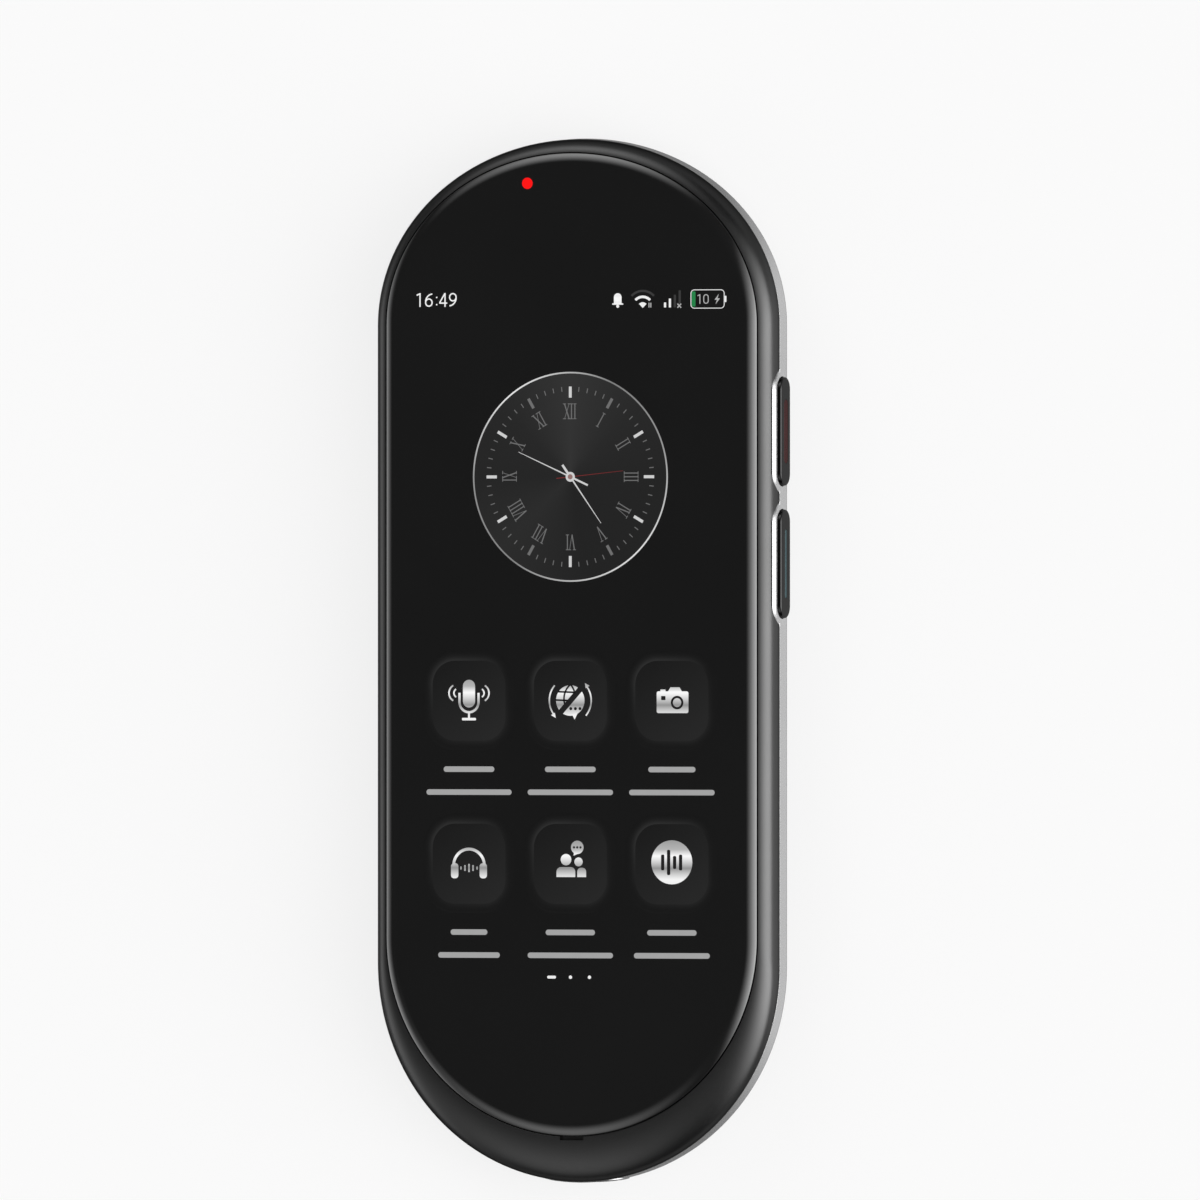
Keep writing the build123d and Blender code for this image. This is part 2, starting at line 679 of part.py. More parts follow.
def sub_board():
    board = board_slab(-64.0, -50.6, SUB_BOARD_LOW, SUB_BOARD_HIGH)
    for x, y in SUB_SCREWS:
        board -= post(BOARD_HOLE_RADIUS, x, y, SUB_BOARD_LOW, SUB_BOARD_HIGH)
    return board


def board_screws():
    """Screws of the boards and the key brackets, all driven from the back."""
    places = [(x, y, BOARD_LOW) for x, y in MAIN_SCREWS]
    places += [(x, y, SUB_BOARD_LOW) for x, y in SUB_SCREWS]
    places += [(x, y, PLATE_LOW - TAB_THICK) for x, y in BRACKET_SCREWS]
    screws = []
    for x, y, seat in places:
        head = faceted_post(SCREW_HEAD_RADIUS, x, y, seat - SCREW_HEAD_HIGH, seat)
        screws.append(head + faceted_post(SCREW_RADIUS, x, y, seat, PLATE_HIGH))
    return screws


def shield_cans():
    """Pressed steel cans over the processor, the radio and the power circuits."""
    cans = []
    for x, y in SHIELD_CANS:
        can = box_between(x, y, (BOARD_HIGH, SHIELD_HIGH))
        cans.append(fillet(can.edges().filter_by(Axis.Z), 0.8))
    return cans


def board_connectors():
    """Low board connectors for the display, battery and link circuits, each on its flexible lead."""
    return [
        box_between((-7.0, 7.0), (46.6, 49.2), (BOARD_HIGH + 0.2, BOARD_HIGH + 1.1)),
        box_between((LINK_X - 1.6, LINK_X + 1.6), (7.8, 11.4), (BOARD_HIGH + 0.12, BOARD_HIGH + 0.9)),
        box_between((-3.0, 3.0), (8.0, 10.4), (BOARD_LOW - 0.9, BOARD_LOW)),
    ]


def battery():
    """Pouch cell with soft edges, and the terrace with its protection circuit at the top."""
    y_low, y_high = BATTERY_Y
    pouch = box_between((-BATTERY_HALF, BATTERY_HALF), (y_low, y_high - 3.2), (BATTERY_LOW, BATTERY_HIGH))
    pouch = fillet(pouch.edges().filter_by(Axis.Y), 1.6)
    terrace = box_between((-BATTERY_HALF + 1.5, BATTERY_HALF - 1.5), (y_high - 3.3, y_high), (3.4, 5.0))
    return pouch + terrace


def battery_tape():
    """Double-sided tape that holds the cell to the plate."""
    return box_between((-14.0, 14.0), (-33.0, -3.0), (BATTERY_HIGH, PLATE_LOW))


def battery_flex():
    """Flexible lead from the cell's protection circuit to the underside of the main board."""
    z = 3.3
    points = [(BATTERY_Y[1] - 2.0, z), (7.0, z), (7.8, BOARD_LOW - 1.0), (10.0, BOARD_LOW - 1.0)]
    return ribbon(points, 0.3, 0.16, 4.0, Plane.YZ)


def link_flex():
    """Flexible circuit between battery and plate, from the main board to the sub board."""
    high = BATTERY_HIGH + 0.07
    top = BOARD_HIGH + 0.06
    low = SUB_BOARD_HIGH + 0.06
    points = [(11.2, top), (5.6, top), (4.6, high), (-50.3, high), (-50.9, low), (-52.2, low)]
    return Pos(LINK_X, 0, 0) * ribbon(points, 0.4, 0.12, LINK_WIDTH, Plane.YZ)


def usb_c_shell():
    """Receptacle shell: a round-ended sleeve, closed at the back."""
    y_back = USB_MOUTH_Y + USB_DEPTH
    outside = slot_through_chin(USB_WIDTH, USB_HEIGHT, USB_MOUTH_Y, y_back, USB_Z)
    hollow = slot_through_chin(
        USB_WIDTH - 2 * USB_WALL, USB_HEIGHT - 2 * USB_WALL, USB_MOUTH_Y, y_back - 1.1, USB_Z
    )
    return outside - hollow


def usb_c_tongue():
    """Contact tongue in the middle of the receptacle."""
    tongue = box_between(
        (-3.345, 3.345), (USB_MOUTH_Y + 0.9, USB_MOUTH_Y + USB_DEPTH - 1.1), (USB_Z - 0.35, USB_Z + 0.35)
    )
    return fillet(tongue.edges().filter_by(Axis.Z).sort_by(Axis.Y)[:2], 0.4)


def speaker_box():
    """Sound box with its driver face turned to the slots in the back."""
    box = box_between((-19.5, 19.5), (-49.9, -37.6), (2.6, 6.9))
    box = fillet(box.edges().filter_by(Axis.Z), 1.5)
    gasket = Pos(0, SPEAKER_Y, 1.55) * extrude(RectangleRounded(26, 10.6, 2), amount=1.05)
    return box + (gasket - Pos(0, SPEAKER_Y, 1.55) * extrude(RectangleRounded(23.6, 9.0, 1.2), amount=1.0))


def speaker_mesh():
    """Dust mesh bonded over the slots from inside."""
    return Pos(0, SPEAKER_Y, COVER_WALL) * extrude(RectangleRounded(25.4, 10.0, 1.5), amount=0.2)


def vibration_motor():
    return post(4.0, -7.0, -54.4, 1.85, SUB_BOARD_LOW - 0.02)


def indicator_led():
    y = (LED_Y - 0.4, LED_Y + 0.4)
    return box_between((LED_X - 0.8, LED_X + 0.8), y, (BOARD_HIGH, BOARD_HIGH + 0.5))


def light_pipe():
    """Clear pipe that carries the indicator's light up to the glass, with a collar under the deck."""
    pipe = post(LIGHT_PIPE_RADIUS, LED_X, LED_Y, BOARD_HIGH + 0.6, GLASS_LOW)
    return pipe + post(1.3, LED_X, LED_Y, DECK_LOW - 0.6, DECK_LOW)


def microphones():
    """One microphone under the slot at the chin, one on the main board near the top end."""
    chin = box_between((-1.4, 1.4), (MIC_SLOT_Y - 0.9, MIC_SLOT_Y + 0.9), (8.2, 9.1))
    top = box_between((5.2, 8.2), (57.6, 59.6), (BOARD_HIGH, BOARD_HIGH + 0.9))
    return [chin, top]


def mic_boot():
    """Rubber boot that seals the chin microphone to its sound hole."""
    boot = box_between((-1.8, 1.8), (MIC_SLOT_Y - 1.3, MIC_SLOT_Y + 1.3), (9.1, DECK_LOW))
    return boot - post(0.45, 0, MIC_SLOT_Y, 9.1, DECK_LOW)


def camera_module():
    """Rear camera: square base under the main board and a round barrel towards the window."""
    base = box_between((CAMERA_X - 4.3, CAMERA_X + 4.3), (CAMERA_Y - 4.3, CAMERA_Y + 4.3), (2.5, BOARD_LOW))
    return base + post(3.2, CAMERA_X, CAMERA_Y, 1.0, 2.5)


def camera_window():
    """Black plate let into the back, pierced for the lens ring and the flash."""
    face = SlotOverall(WINDOW_LENGTH - 0.1, WINDOW_WIDTH - 0.1)
    plate = Pos(0, CAMERA_Y, 0.12) * extrude(face, amount=0.7)
    plate -= post(RING_RADIUS + 0.03, CAMERA_X, CAMERA_Y, 0, 1)
    return plate - post(FLASH_RADIUS, FLASH_X, CAMERA_Y, 0, 1)


def lens_ring():
    ring_solid = post(RING_RADIUS, CAMERA_X, CAMERA_Y, 0.06, 0.82)
    return ring_solid - post(LENS_HOLE - 0.1, CAMERA_X, CAMERA_Y, 0, 1)


def lens_glass():
    return post(LENS_HOLE - 0.12, CAMERA_X, CAMERA_Y, 0.25, 0.75)


def flash_lens():
    """Clear flash window with a post that gathers the light of the flash on the board."""
    return post(FLASH_RADIUS - 0.05, FLASH_X, CAMERA_Y, 0.12, BOARD_LOW - 0.75)


def flash_led():
    y = (CAMERA_Y - 1, CAMERA_Y + 1)
    return box_between((FLASH_X - 1, FLASH_X + 1), y, (BOARD_LOW - 0.7, BOARD_LOW))


ANTENNA_THICK = 0.12


def antennas():
    """Thin antenna patches bonded to the inside of the back at both ends."""
    top = box_between((-7.5, 7.5), (53.4, 57.0), (COVER_WALL, COVER_WALL + ANTENNA_THICK))
    chin = box_between((-4.0, 10.0), (-55.4, -51.4), (COVER_WALL, COVER_WALL + ANTENNA_THICK))
    return [top, chin]


# ---------------------------------------------------------------------------------------------
# One STEP file for each piece
# ---------------------------------------------------------------------------------------------

PIECES = {
    "cover_glass": cover_glass(),
    "glass_adhesive": glass_adhesive(),
    "optical_adhesive": optical_adhesive(),
    "display_panel": display_panel(),
    "display_foam": display_foam(),
    "display_flex": display_flex(),
    "front_rim": front_rim(),
    "mid_frame": mid_frame(),
    "back_cover": back_cover(),
    "upper_talk_key": talk_key("upper"),
    "upper_key_inlay": inlay_bar("upper"),
    "lower_talk_key": talk_key("lower"),
    "lower_key_inlay": inlay_bar("lower"),
    "talk_key_switches": Compound(talk_key_switches()),
    "talk_key_flex": talk_key_flex(),
    "talk_key_bracket": talk_key_bracket(),
    "power_key": power_key(),
    "power_key_switch": power_key_switch(),
    "power_key_flex": power_key_flex(),
    "power_key_bracket": power_key_bracket(),
    "sim_tray": sim_tray(),
    "sim_reader": sim_reader(),
    "main_board": main_board(),
    "sub_board": sub_board(),
    "board_screws": Compound(board_screws()),
    "shield_cans": Compound(shield_cans()),
    "board_connectors": Compound(board_connectors()),
    "battery": battery(),
    "battery_tape": battery_tape(),
    "battery_flex": battery_flex(),
    "link_flex": link_flex(),
    "usb_c_shell": usb_c_shell(),
    "usb_c_tongue": usb_c_tongue(),
    "speaker_box": speaker_box(),
    "speaker_mesh": speaker_mesh(),
    "vibration_motor": vibration_motor(),
    "indicator_led": indicator_led(),
    "light_pipe": light_pipe(),
    "microphones": Compound(microphones()),
    "mic_boot": mic_boot(),
    "camera_module": camera_module(),
    "camera_window": camera_window(),
    "lens_ring": lens_ring(),
    "lens_glass": lens_glass(),
    "flash_lens": flash_lens(),
    "flash_led": flash_led(),
    "antennas": Compound(antennas()),
}

for name, piece in PIECES.items():
    export_step(piece, f"parts/{name}.step")
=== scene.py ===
import json
from collections import namedtuple
from math import acos, asin, atan, copysign, cos, hypot, pi, radians, sin, sqrt

import bmesh
import bpy
from mathutils import Matrix, Vector


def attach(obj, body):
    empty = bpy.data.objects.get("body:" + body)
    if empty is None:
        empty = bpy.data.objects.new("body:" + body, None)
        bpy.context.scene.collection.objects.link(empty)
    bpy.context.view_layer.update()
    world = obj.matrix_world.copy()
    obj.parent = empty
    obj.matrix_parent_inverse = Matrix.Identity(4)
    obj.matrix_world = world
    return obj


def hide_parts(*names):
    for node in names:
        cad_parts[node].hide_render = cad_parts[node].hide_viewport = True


# Looks of a handheld translator: glass front with a lit screen, dark rim, silver band with raised
# pads, two talk keys, dark bowl-shaped back. Sizes are in millimetres and become metres in a mesh.

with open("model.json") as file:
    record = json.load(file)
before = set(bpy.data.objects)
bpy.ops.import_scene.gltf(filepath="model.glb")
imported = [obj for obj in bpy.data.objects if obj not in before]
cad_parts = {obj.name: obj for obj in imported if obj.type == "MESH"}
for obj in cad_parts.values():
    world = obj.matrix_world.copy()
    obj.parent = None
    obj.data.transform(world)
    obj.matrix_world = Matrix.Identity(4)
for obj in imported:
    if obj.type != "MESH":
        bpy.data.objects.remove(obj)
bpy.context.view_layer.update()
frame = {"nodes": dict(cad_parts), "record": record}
MM = 0.001

# ---------- Capsule outlines, the same as in the CAD source ----------

Outline = namedtuple("Outline", "half_width top_y top_rise bottom_y bottom_drop")
BODY = Outline(27.35, 42.4, 23.6, -38.7, 27.3)
GLASS = Outline(25.2, 42.5, 21.6, -35.1, 24.95)
END_STEPS = 80
SIDE_STEPS = 10


def inset(outline, amount):
    """The outline drawn in by the same amount all round."""
    w, top_y, rise, bottom_y, drop = outline
    return Outline(w - amount, top_y, rise - amount, bottom_y, drop - amount)


def between(inner, outer, share):
    """The outline that lies the given share of the way from inner to outer."""
    return Outline(*(a + (b - a) * share for a, b in zip(inner, outer)))


def outline_points(outline):
    """Points of the outline, anticlockwise from the foot of the right side."""
    w, top_y, rise, bottom_y, drop = outline
    length = top_y - bottom_y
    shares = [step / SIDE_STEPS for step in range(SIDE_STEPS)]
    angles = [pi * step / END_STEPS for step in range(END_STEPS)]
    right = [(w, bottom_y + length * s) for s in shares]
    top = [(w * cos(a), top_y + rise * sin(a)) for a in angles]
    left = [(-w, top_y - length * s) for s in shares]
    bottom = [(-w * cos(a), bottom_y - drop * sin(a)) for a in angles]
    return right + top + left + bottom


BAND_FRONT = inset(BODY, 0.11)
GLASS_POCKET = inset(GLASS, -0.12)

THICKNESS = 12.0
GLASS_LOW = 10.9
DECK_HIGH = 10.75
DECK_LOW = 9.9
RIM_HIGH = 11.45
BAND_HIGH = 8.8
BAND_LOW = 6.65
PLATE_HIGH = 7.9
PLATE_LOW = 7.3
COVER_HIGH = 6.6
COVER_WALL = 1.3
COVER_LEDGE = 2.4
BAND_WALL = 1.45
INNER_WALL_X = BODY.half_width - BAND_WALL

# ---------- Mesh tools ----------

PLACE = {
    "x": lambda at, a, b: (at, a, b),
    "y": lambda at, a, b: (a, at, b),
    "z": lambda at, a, b: (a, b, at),
}


def placed(points, axis, at):
    """Flat points set across an axis: (y, z) across X, (x, z) across Y, (x, y) across Z."""
    return [PLACE[axis](at, a, b) for a, b in points]


def outline_loop(outline, z):
    return placed(outline_points(outline), "z", z)


def mesh_object(name, bm):
    """Object with the mesh that was built up in bm, which is then gone."""
    mesh = bpy.data.meshes.new(name)
    bm.to_mesh(mesh)
    bm.free()
    obj = bpy.data.objects.new(name, mesh)
    bpy.context.scene.collection.objects.link(obj)
    return obj


def lofted(name, loops, closed=False):
    """Solid through a row of loops of equal length: capped at both ends, or closed into a ring."""
    bm = bmesh.new()
    rows = [[bm.verts.new(Vector(p) * MM) for p in loop] for loop in loops]
    pairs = list(zip(rows, rows[1:]))
    if closed:
        pairs.append((rows[-1], rows[0]))
    count = len(rows[0])
    for low, high in pairs:
        for i in range(count):
            j = (i + 1) % count
            bm.faces.new((low[i], low[j], high[j], high[i]))
    if not closed:
        bm.faces.new(rows[0])
        bm.faces.new(rows[-1])
    bmesh.ops.recalc_face_normals(bm, faces=bm.faces)
    return mesh_object(name, bm)


def joined(name, objects):
    """One object with the meshes of all the given ones, which are then gone."""
    bm = bmesh.new()
    for obj in objects:
        bm.from_mesh(obj.data)
        bpy.data.objects.remove(obj)
    return mesh_object(name, bm)


def combine(target, tool, operation):
    """Unites target with tool or cuts tool out of it; tool is then gone."""
    modifier = target.modifiers.new(operation, "BOOLEAN")
    modifier.operation = operation
    modifier.solver = "MANIFOLD"
    modifier.object = tool
    depsgraph = bpy.context.evaluated_depsgraph_get()
    result = bpy.data.meshes.new_from_object(target.evaluated_get(depsgraph))
    target.modifiers.clear()
    target.data = result
    bpy.data.objects.remove(tool)
    return target


def cut(target, *tools):
    for tool in tools:
        combine(target, tool, "DIFFERENCE")


def straight(points, axis, span):
    """Straight-walled solid over flat points, across an axis, between the two ends of span."""
    return lofted("straight", [placed(points, axis, at) for at in span])


def around(middle, reach):
    return (middle - reach, middle + reach)


def block(x, y, z):
    """Block from three (low, high) pairs."""
    corners = [(x[0], y[0]), (x[1], y[0]), (x[1], y[1]), (x[0], y[1])]
    return straight(corners, "z", z)


CREASE_ANGLE = radians(28)


def shaded(obj):
    """Smooth shading with crisp edges where faces meet at more than the crease angle."""
    obj.data.shade_smooth()
    obj.data.set_sharp_from_angle(angle=CREASE_ANGLE)
    modifier = obj.modifiers.new("normals", "WEIGHTED_NORMAL")
    modifier.keep_sharp = True
    return obj


ROUND_STEPS = 20


def stadium(length, width, at=(0, 0), steps=ROUND_STEPS):
    """Points of a round-ended bar whose long side runs along the first coordinate."""
    radius = width / 2
    reach = length / 2 - radius
    angles = [pi * (step / steps - 0.5) for step in range(steps + 1)]
    right = [(reach + radius * cos(a), radius * sin(a)) for a in angles]
    left = [(-a, -b) for a, b in right]
    return [(at[0] + a, at[1] + b) for a, b in right + left]


def rounded_box(width, height, radius, at, steps=8):
    """Points of a rectangle with round corners."""
    points = []
    for turn, (sx, sy) in enumerate([(1, 1), (-1, 1), (-1, -1), (1, -1)]):
        x = at[0] + sx * (width / 2 - radius)
        y = at[1] + sy * (height / 2 - radius)
        for step in range(steps + 1):
            a = pi / 2 * (turn + step / steps)
            points.append((x + radius * cos(a), y + radius * sin(a)))
    return points


def circle(radius, at, steps=48):
    angles = [2 * pi * step / steps for step in range(steps)]
    return [(at[0] + radius * cos(a), at[1] + radius * sin(a)) for a in angles]


EDGE_STEPS = 6


def rounded_edge(radius):
    """(drawn in, drop) pairs of a quarter round, from the side wall up to the face."""
    angles = [pi / 2 * step / EDGE_STEPS for step in range(EDGE_STEPS + 1)]
    return [(radius * (1 - cos(a)), radius * (1 - sin(a))) for a in angles]


# ---------- Materials ----------


def node_material(name):
    material = bpy.data.materials.new(name)
    material.use_nodes = True
    tree = material.node_tree
    return material, tree, tree.nodes["Principled BSDF"]


def set_sockets(node, sockets):
    for socket, value in sockets.items():
        node.inputs[socket].default_value = value


def object_place(tree):
    """Place in the object's own space, in metres."""
    return tree.nodes.new("ShaderNodeTexCoord").outputs["Object"]


def object_y(tree):
    split = tree.nodes.new("ShaderNodeSeparateXYZ")
    tree.links.new(object_place(tree), split.inputs[0])
    return split.outputs["Y"]


def math_node(tree, operation, *inputs):
    """Math node fed by sockets or plain numbers."""
    node = tree.nodes.new("ShaderNodeMath")
    node.operation = operation
    for socket, value in zip(node.inputs, inputs):
        if isinstance(value, (int, float)):
            socket.default_value = value
        else:
            tree.links.new(value, socket)
    return node.outputs[0]


def noise(tree, scale, detail=4.0):
    """Noise in the object's own space, with its scale in cells per metre."""
    texture = tree.nodes.new("ShaderNodeTexNoise")
    set_sockets(texture, {"Scale": scale, "Detail": detail})
    tree.links.new(object_place(tree), texture.inputs["Vector"])
    return texture.outputs["Fac"]


def ramp(tree, value, stops):
    """Colour ramp with (position, grey or colour) stops."""
    node = tree.nodes.new("ShaderNodeValToRGB")
    elements = node.color_ramp.elements
    while len(elements) < len(stops):
        elements.new(0.5)
    for element, (position, colour) in zip(elements, stops):
        element.position = position
        element.color = colour if isinstance(colour, tuple) else (colour, colour, colour, 1)
    tree.links.new(value, node.inputs["Fac"])
    return node.outputs["Color"]


TONE_SCALE = 60
METAL = {"Metallic": 1.0}


def surface(name, colour, rough, tone=0.12, grain=4000, bump=0.1, depth=0.00001, **sockets):
    """Solid material: fine grain in its relief and roughness, slow drift in its tone."""
    material, tree, shader = node_material(name)
    set_sockets(shader, sockets)
    low = tuple(c * (1 - tone) for c in colour) + (1,)
    high = tuple(min(1, c * (1 + tone)) for c in colour) + (1,)
    drift = ramp(tree, noise(tree, TONE_SCALE), [(0.3, low), (0.7, high)])
    tree.links.new(drift, shader.inputs["Base Color"])
    fine = noise(tree, grain, 2)
    spread = [(0.3, rough[0]), (0.7, rough[1])]
    tree.links.new(ramp(tree, fine, spread), shader.inputs["Roughness"])
    relief = tree.nodes.new("ShaderNodeBump")
    set_sockets(relief, {"Strength": bump, "Distance": depth})
    tree.links.new(fine, relief.inputs["Height"])
    tree.links.new(relief.outputs["Normal"], shader.inputs["Normal"])
    return material


def dark_metal(name, colour, rough, edge, bump=0.1):
    """Dark anodised metal whose shine at a grazing view is held down to a share."""
    tint = {"Specular Tint": (edge, edge, edge, 1)}
    return surface(name, colour, rough, tone=0.05, bump=bump, **METAL, **tint)


BLACK = (0.0045, 0.0045, 0.0045)
GLASS_IOR = 2.0
MATERIALS = {
    "cover_glass": surface("black_glass", BLACK, (0.1, 0.12), bump=0, **{"IOR": GLASS_IOR}),
    "rim": dark_metal("graphite_rim", (0.078, 0.078, 0.078), (0.29, 0.34), 0.3, bump=0.05),
    "band": surface("silver_band", (0.5, 0.5, 0.504), (0.24, 0.34), tone=0.03, **METAL),
    "back": surface("back_shell", (0.012, 0.012, 0.013), (0.38, 0.5), bump=0.35, depth=0.00002),
    "key": dark_metal("key_cap", (0.044, 0.044, 0.044), (0.15, 0.22), 0.54),
    "red_inlay": dark_metal("red_inlay", (0.078, 0.028, 0.028), (0.25, 0.35), 0.54),
    "teal_inlay": dark_metal("teal_inlay", (0.09, 0.145, 0.16), (0.25, 0.35), 0.54),
    "board": surface("circuit_board", (0.008, 0.035, 0.03), (0.3, 0.45), tone=0.4, bump=0.3),
    "steel": surface("pressed_steel", (0.55, 0.55, 0.56), (0.25, 0.4), bump=0.2, **METAL),
    "connector": surface("connector_black", (0.02, 0.02, 0.02), (0.4, 0.55), bump=0.2),
    "cell": surface("pouch_foil", (0.5, 0.5, 0.52), (0.3, 0.5), bump=0.6, **METAL),
    "flex": surface("amber_film", (0.32, 0.13, 0.03), (0.25, 0.35)),
    "black_tape": surface("black_tape", (0.01, 0.01, 0.01), (0.6, 0.75), bump=0.4),
    "foam": surface("black_foam", (0.015, 0.015, 0.015), (0.8, 0.95), bump=0.9, depth=0.00005),
    "speaker": surface("speaker_plastic", (0.018, 0.018, 0.018), (0.45, 0.6), bump=0.3),
    "copper": surface("copper_film", (0.75, 0.38, 0.22), (0.25, 0.4), **METAL),
    "clear": surface("clear_window", (0.75, 0.75, 0.72), (0.12, 0.2), bump=0.05, **{"IOR": 1.5}),
    "lens": surface("coated_lens", (0.006, 0.006, 0.012), (0.03, 0.06), bump=0, **{"IOR": 1.7}),
    "display": surface("display_cell", (0.01, 0.01, 0.011), (0.2, 0.3), bump=0),
    "led": surface("lamp_chip", (0.8, 0.6, 0.3), (0.3, 0.4)),
    "mesh": surface(
        "dust_mesh", (0.05, 0.05, 0.05), (0.4, 0.6), grain=9000, bump=1.0, depth=0.00005
    ),
}


def dressed(obj, slot, body="housing", replaces=()):
    """Gives a piece its slot's material and its body, and hides the CAD nodes that it stands for.
    """
    obj.data.materials.clear()
    obj.data.materials.append(MATERIALS[slot])
    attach(obj, body)
    if replaces:
        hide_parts(*replaces)
    return obj


BEVELLED = {
    "sim_tray": 0.06,
    "usb_c_shell": 0.04,
    "usb_c_tongue": 0.05,
    "camera_window": 0.08,
    "lens_ring": 0.1,
}
BEVEL_SEGMENTS = 2
BEVEL_ANGLE = radians(40)


def dress_cad_nodes():
    """Every CAD node gets the finish of its slot, and the ones in view a fine edge."""
    for row in frame["record"]["subparts"]:
        obj = frame["nodes"][row["node"]]
        material = MATERIALS[row["material_slot"]]
        if obj.material_slots:
            for slot in obj.material_slots:
                slot.material = material
        else:
            obj.data.materials.append(material)
    for node, width in BEVELLED.items():
        bevel = frame["nodes"][node].modifiers.new("edge", "BEVEL")
        bevel.width = width * MM
        bevel.segments = BEVEL_SEGMENTS
        bevel.limit_method = "ANGLE"
        bevel.angle_limit = BEVEL_ANGLE


# ---------- Glass and rim ----------

GLASS_EDGE_WIDTH = 1.4
GLASS_EDGE_DROP = 0.42
GLASS_EDGE_STEPS = 18
GLASS_CORNER = 0.16
GLASS_CORNER_STEPS = 6
GLASS_FOOT = 0.12
SCREEN_Z = 11.95


def glass_front():
    """Cover glass with a shallow curved edge that runs into the flat face."""
    arc_radius = (GLASS_EDGE_WIDTH**2 + GLASS_EDGE_DROP**2) / (2 * GLASS_EDGE_DROP)
    steepest = asin(GLASS_EDGE_WIDTH / arc_radius)
    foot = outline_loop(inset(GLASS, GLASS_FOOT), GLASS_LOW)
    loops = [foot, outline_loop(GLASS, GLASS_LOW + GLASS_FOOT)]
    meet = GLASS_CORNER * (1 - sin(steepest))
    meet_angle = asin((GLASS_EDGE_WIDTH - meet) / arc_radius)
    meet_z = SCREEN_Z - arc_radius * (1 - cos(meet_angle))
    for step in range(GLASS_CORNER_STEPS):
        angle = pi / 2 - (pi / 2 - steepest) * step / GLASS_CORNER_STEPS
        z = meet_z - GLASS_CORNER * (cos(steepest) - cos(angle))
        loops.append(outline_loop(inset(GLASS, GLASS_CORNER * (1 - sin(angle))), z))
    for step in range(GLASS_EDGE_STEPS + 1):
        angle = meet_angle * (1 - step / GLASS_EDGE_STEPS)
        drawn_in = GLASS_EDGE_WIDTH - arc_radius * sin(angle)
        drop = arc_radius * (1 - cos(angle))
        loops.append(outline_loop(inset(GLASS, drawn_in), SCREEN_Z - drop))
    glass = shaded(lofted("glass_front", loops))
    return dressed(glass, "cover_glass", replaces=["cover_glass"])


KEY_Y = {"upper": 28.9, "lower": 12.2}
KEY_Z = 8.2
KEY_LENGTH = 13.7
KEY_WIDTH = 3.1
KEY_CLEAR = 0.1
KEY_ROOM_REACH = 8.6
POWER_Y = 36.0
POWER_Z = 7.0
POWER_LENGTH = 9.0
POWER_WIDTH = 2.0
POWER_PAD = (POWER_LENGTH + 1.6, 3.3)
TRAY_Y = 18.0
TRAY_Z = 6.4
DOOR_LENGTH = 13.0
DOOR_WIDTH = 2.0
DOOR_DEPTH = 1.15
DOOR_PAD = (DOOR_LENGTH + 1.6, 3.4)
USB_Z = 6.25
USB_WIDTH = 8.94
USB_HEIGHT = 3.26
USB_CLEAR = 0.2
USB_PAD = (USB_WIDTH + 2.4, USB_HEIGHT + 1.2)
PAD_STRAIGHT = 5.3
PAD_END = 2.75
PAD_TAPER = 1.25
PAD_HALF_HEIGHT = 2.25
PAD_ROUND = 1.0
PAD_TURN = radians(34)
PAD_STEPS = 32
PAD_ROUND_STEPS = 6
PAD_ROOT = 0.02
SEAM = 0.03

# From just inside the band's wall to just outside it
RIGHT_WALL = (25, 28)
LEFT_WALL = (-28, -25)
CHIN_WALL = (-70, -60)


def talk_pad_points(side, grow):
    """Oval round a talk key: straight along Y, with ends that taper like a narrow superellipse."""
    angles = [pi * (step / PAD_STEPS - 0.5) for step in range(PAD_STEPS + 1)]
    end, half = PAD_END + grow, PAD_HALF_HEIGHT + grow
    right = []
    for a in angles:
        along = abs(cos(a)) ** PAD_TAPER
        across = copysign(abs(sin(a)) ** PAD_TAPER, a)
        right.append((PAD_STRAIGHT + end * along, half * across))
    left = [(-a, -b) for a, b in right]
    return [(a + KEY_Y[side], b + KEY_Z) for a, b in right + left]


# A pad made with a grow of more than 0 is a tool that cuts room for it out of its neighbours. It
# then stands well out of the wall.


def talk_pad(side, grow):
    """Raised oval of the band round a talk key, with a rounded edge."""
    points = talk_pad_points(side, grow)
    inner_x = INNER_WALL_X - PAD_ROOT - grow
    if grow:
        return straight(points, "x", (inner_x, RIGHT_WALL[1] + 0.5))
    loops = [placed(points, "x", inner_x)]
    for step in range(PAD_ROUND_STEPS + 1):
        angle = PAD_TURN + (pi / 2 - PAD_TURN) * step / PAD_ROUND_STEPS
        drawn_in = PAD_ROUND * (cos(PAD_TURN) - cos(angle))
        x = BODY.half_width - PAD_ROUND * (1 - sin(angle))
        loops.append(placed(talk_pad_points(side, -drawn_in), "x", x))
    return lofted("pad", loops)


def left_pad(size, y, z, grow):
    """Round-ended pad of the band on the left flank."""
    length, width = (extent + 2 * grow for extent in size)
    outer_x = -BODY.half_width - (1.0 if grow else 0.0)
    span = (outer_x, -INNER_WALL_X + PAD_ROOT + grow)
    return straight(stadium(length, width, (y, z)), "x", span)


def usb_pad(grow):
    """Pad round the USB mouth, cut to the curve of the chin."""
    length, height = (extent + 2 * grow for extent in USB_PAD)
    bar = straight(stadium(length, height, (0, USB_Z)), "y", CHIN_WALL)
    outer = inset(BODY, -grow * 8)
    inner = inset(BODY, BAND_WALL + grow)
    low, high = 3.0, 9.4
    profile = [(outer, low), (outer, high), (inner, high), (inner, low)]
    wall = lofted("wall", [outline_loop(o, z) for o, z in profile], closed=True)
    return combine(bar, wall, "INTERSECT")


def all_pads(grow=0.0):
    return [
        talk_pad("upper", grow),
        talk_pad("lower", grow),
        left_pad(POWER_PAD, POWER_Y, POWER_Z, grow),
        left_pad(DOOR_PAD, TRAY_Y, TRAY_Z, grow),
        usb_pad(grow),
    ]


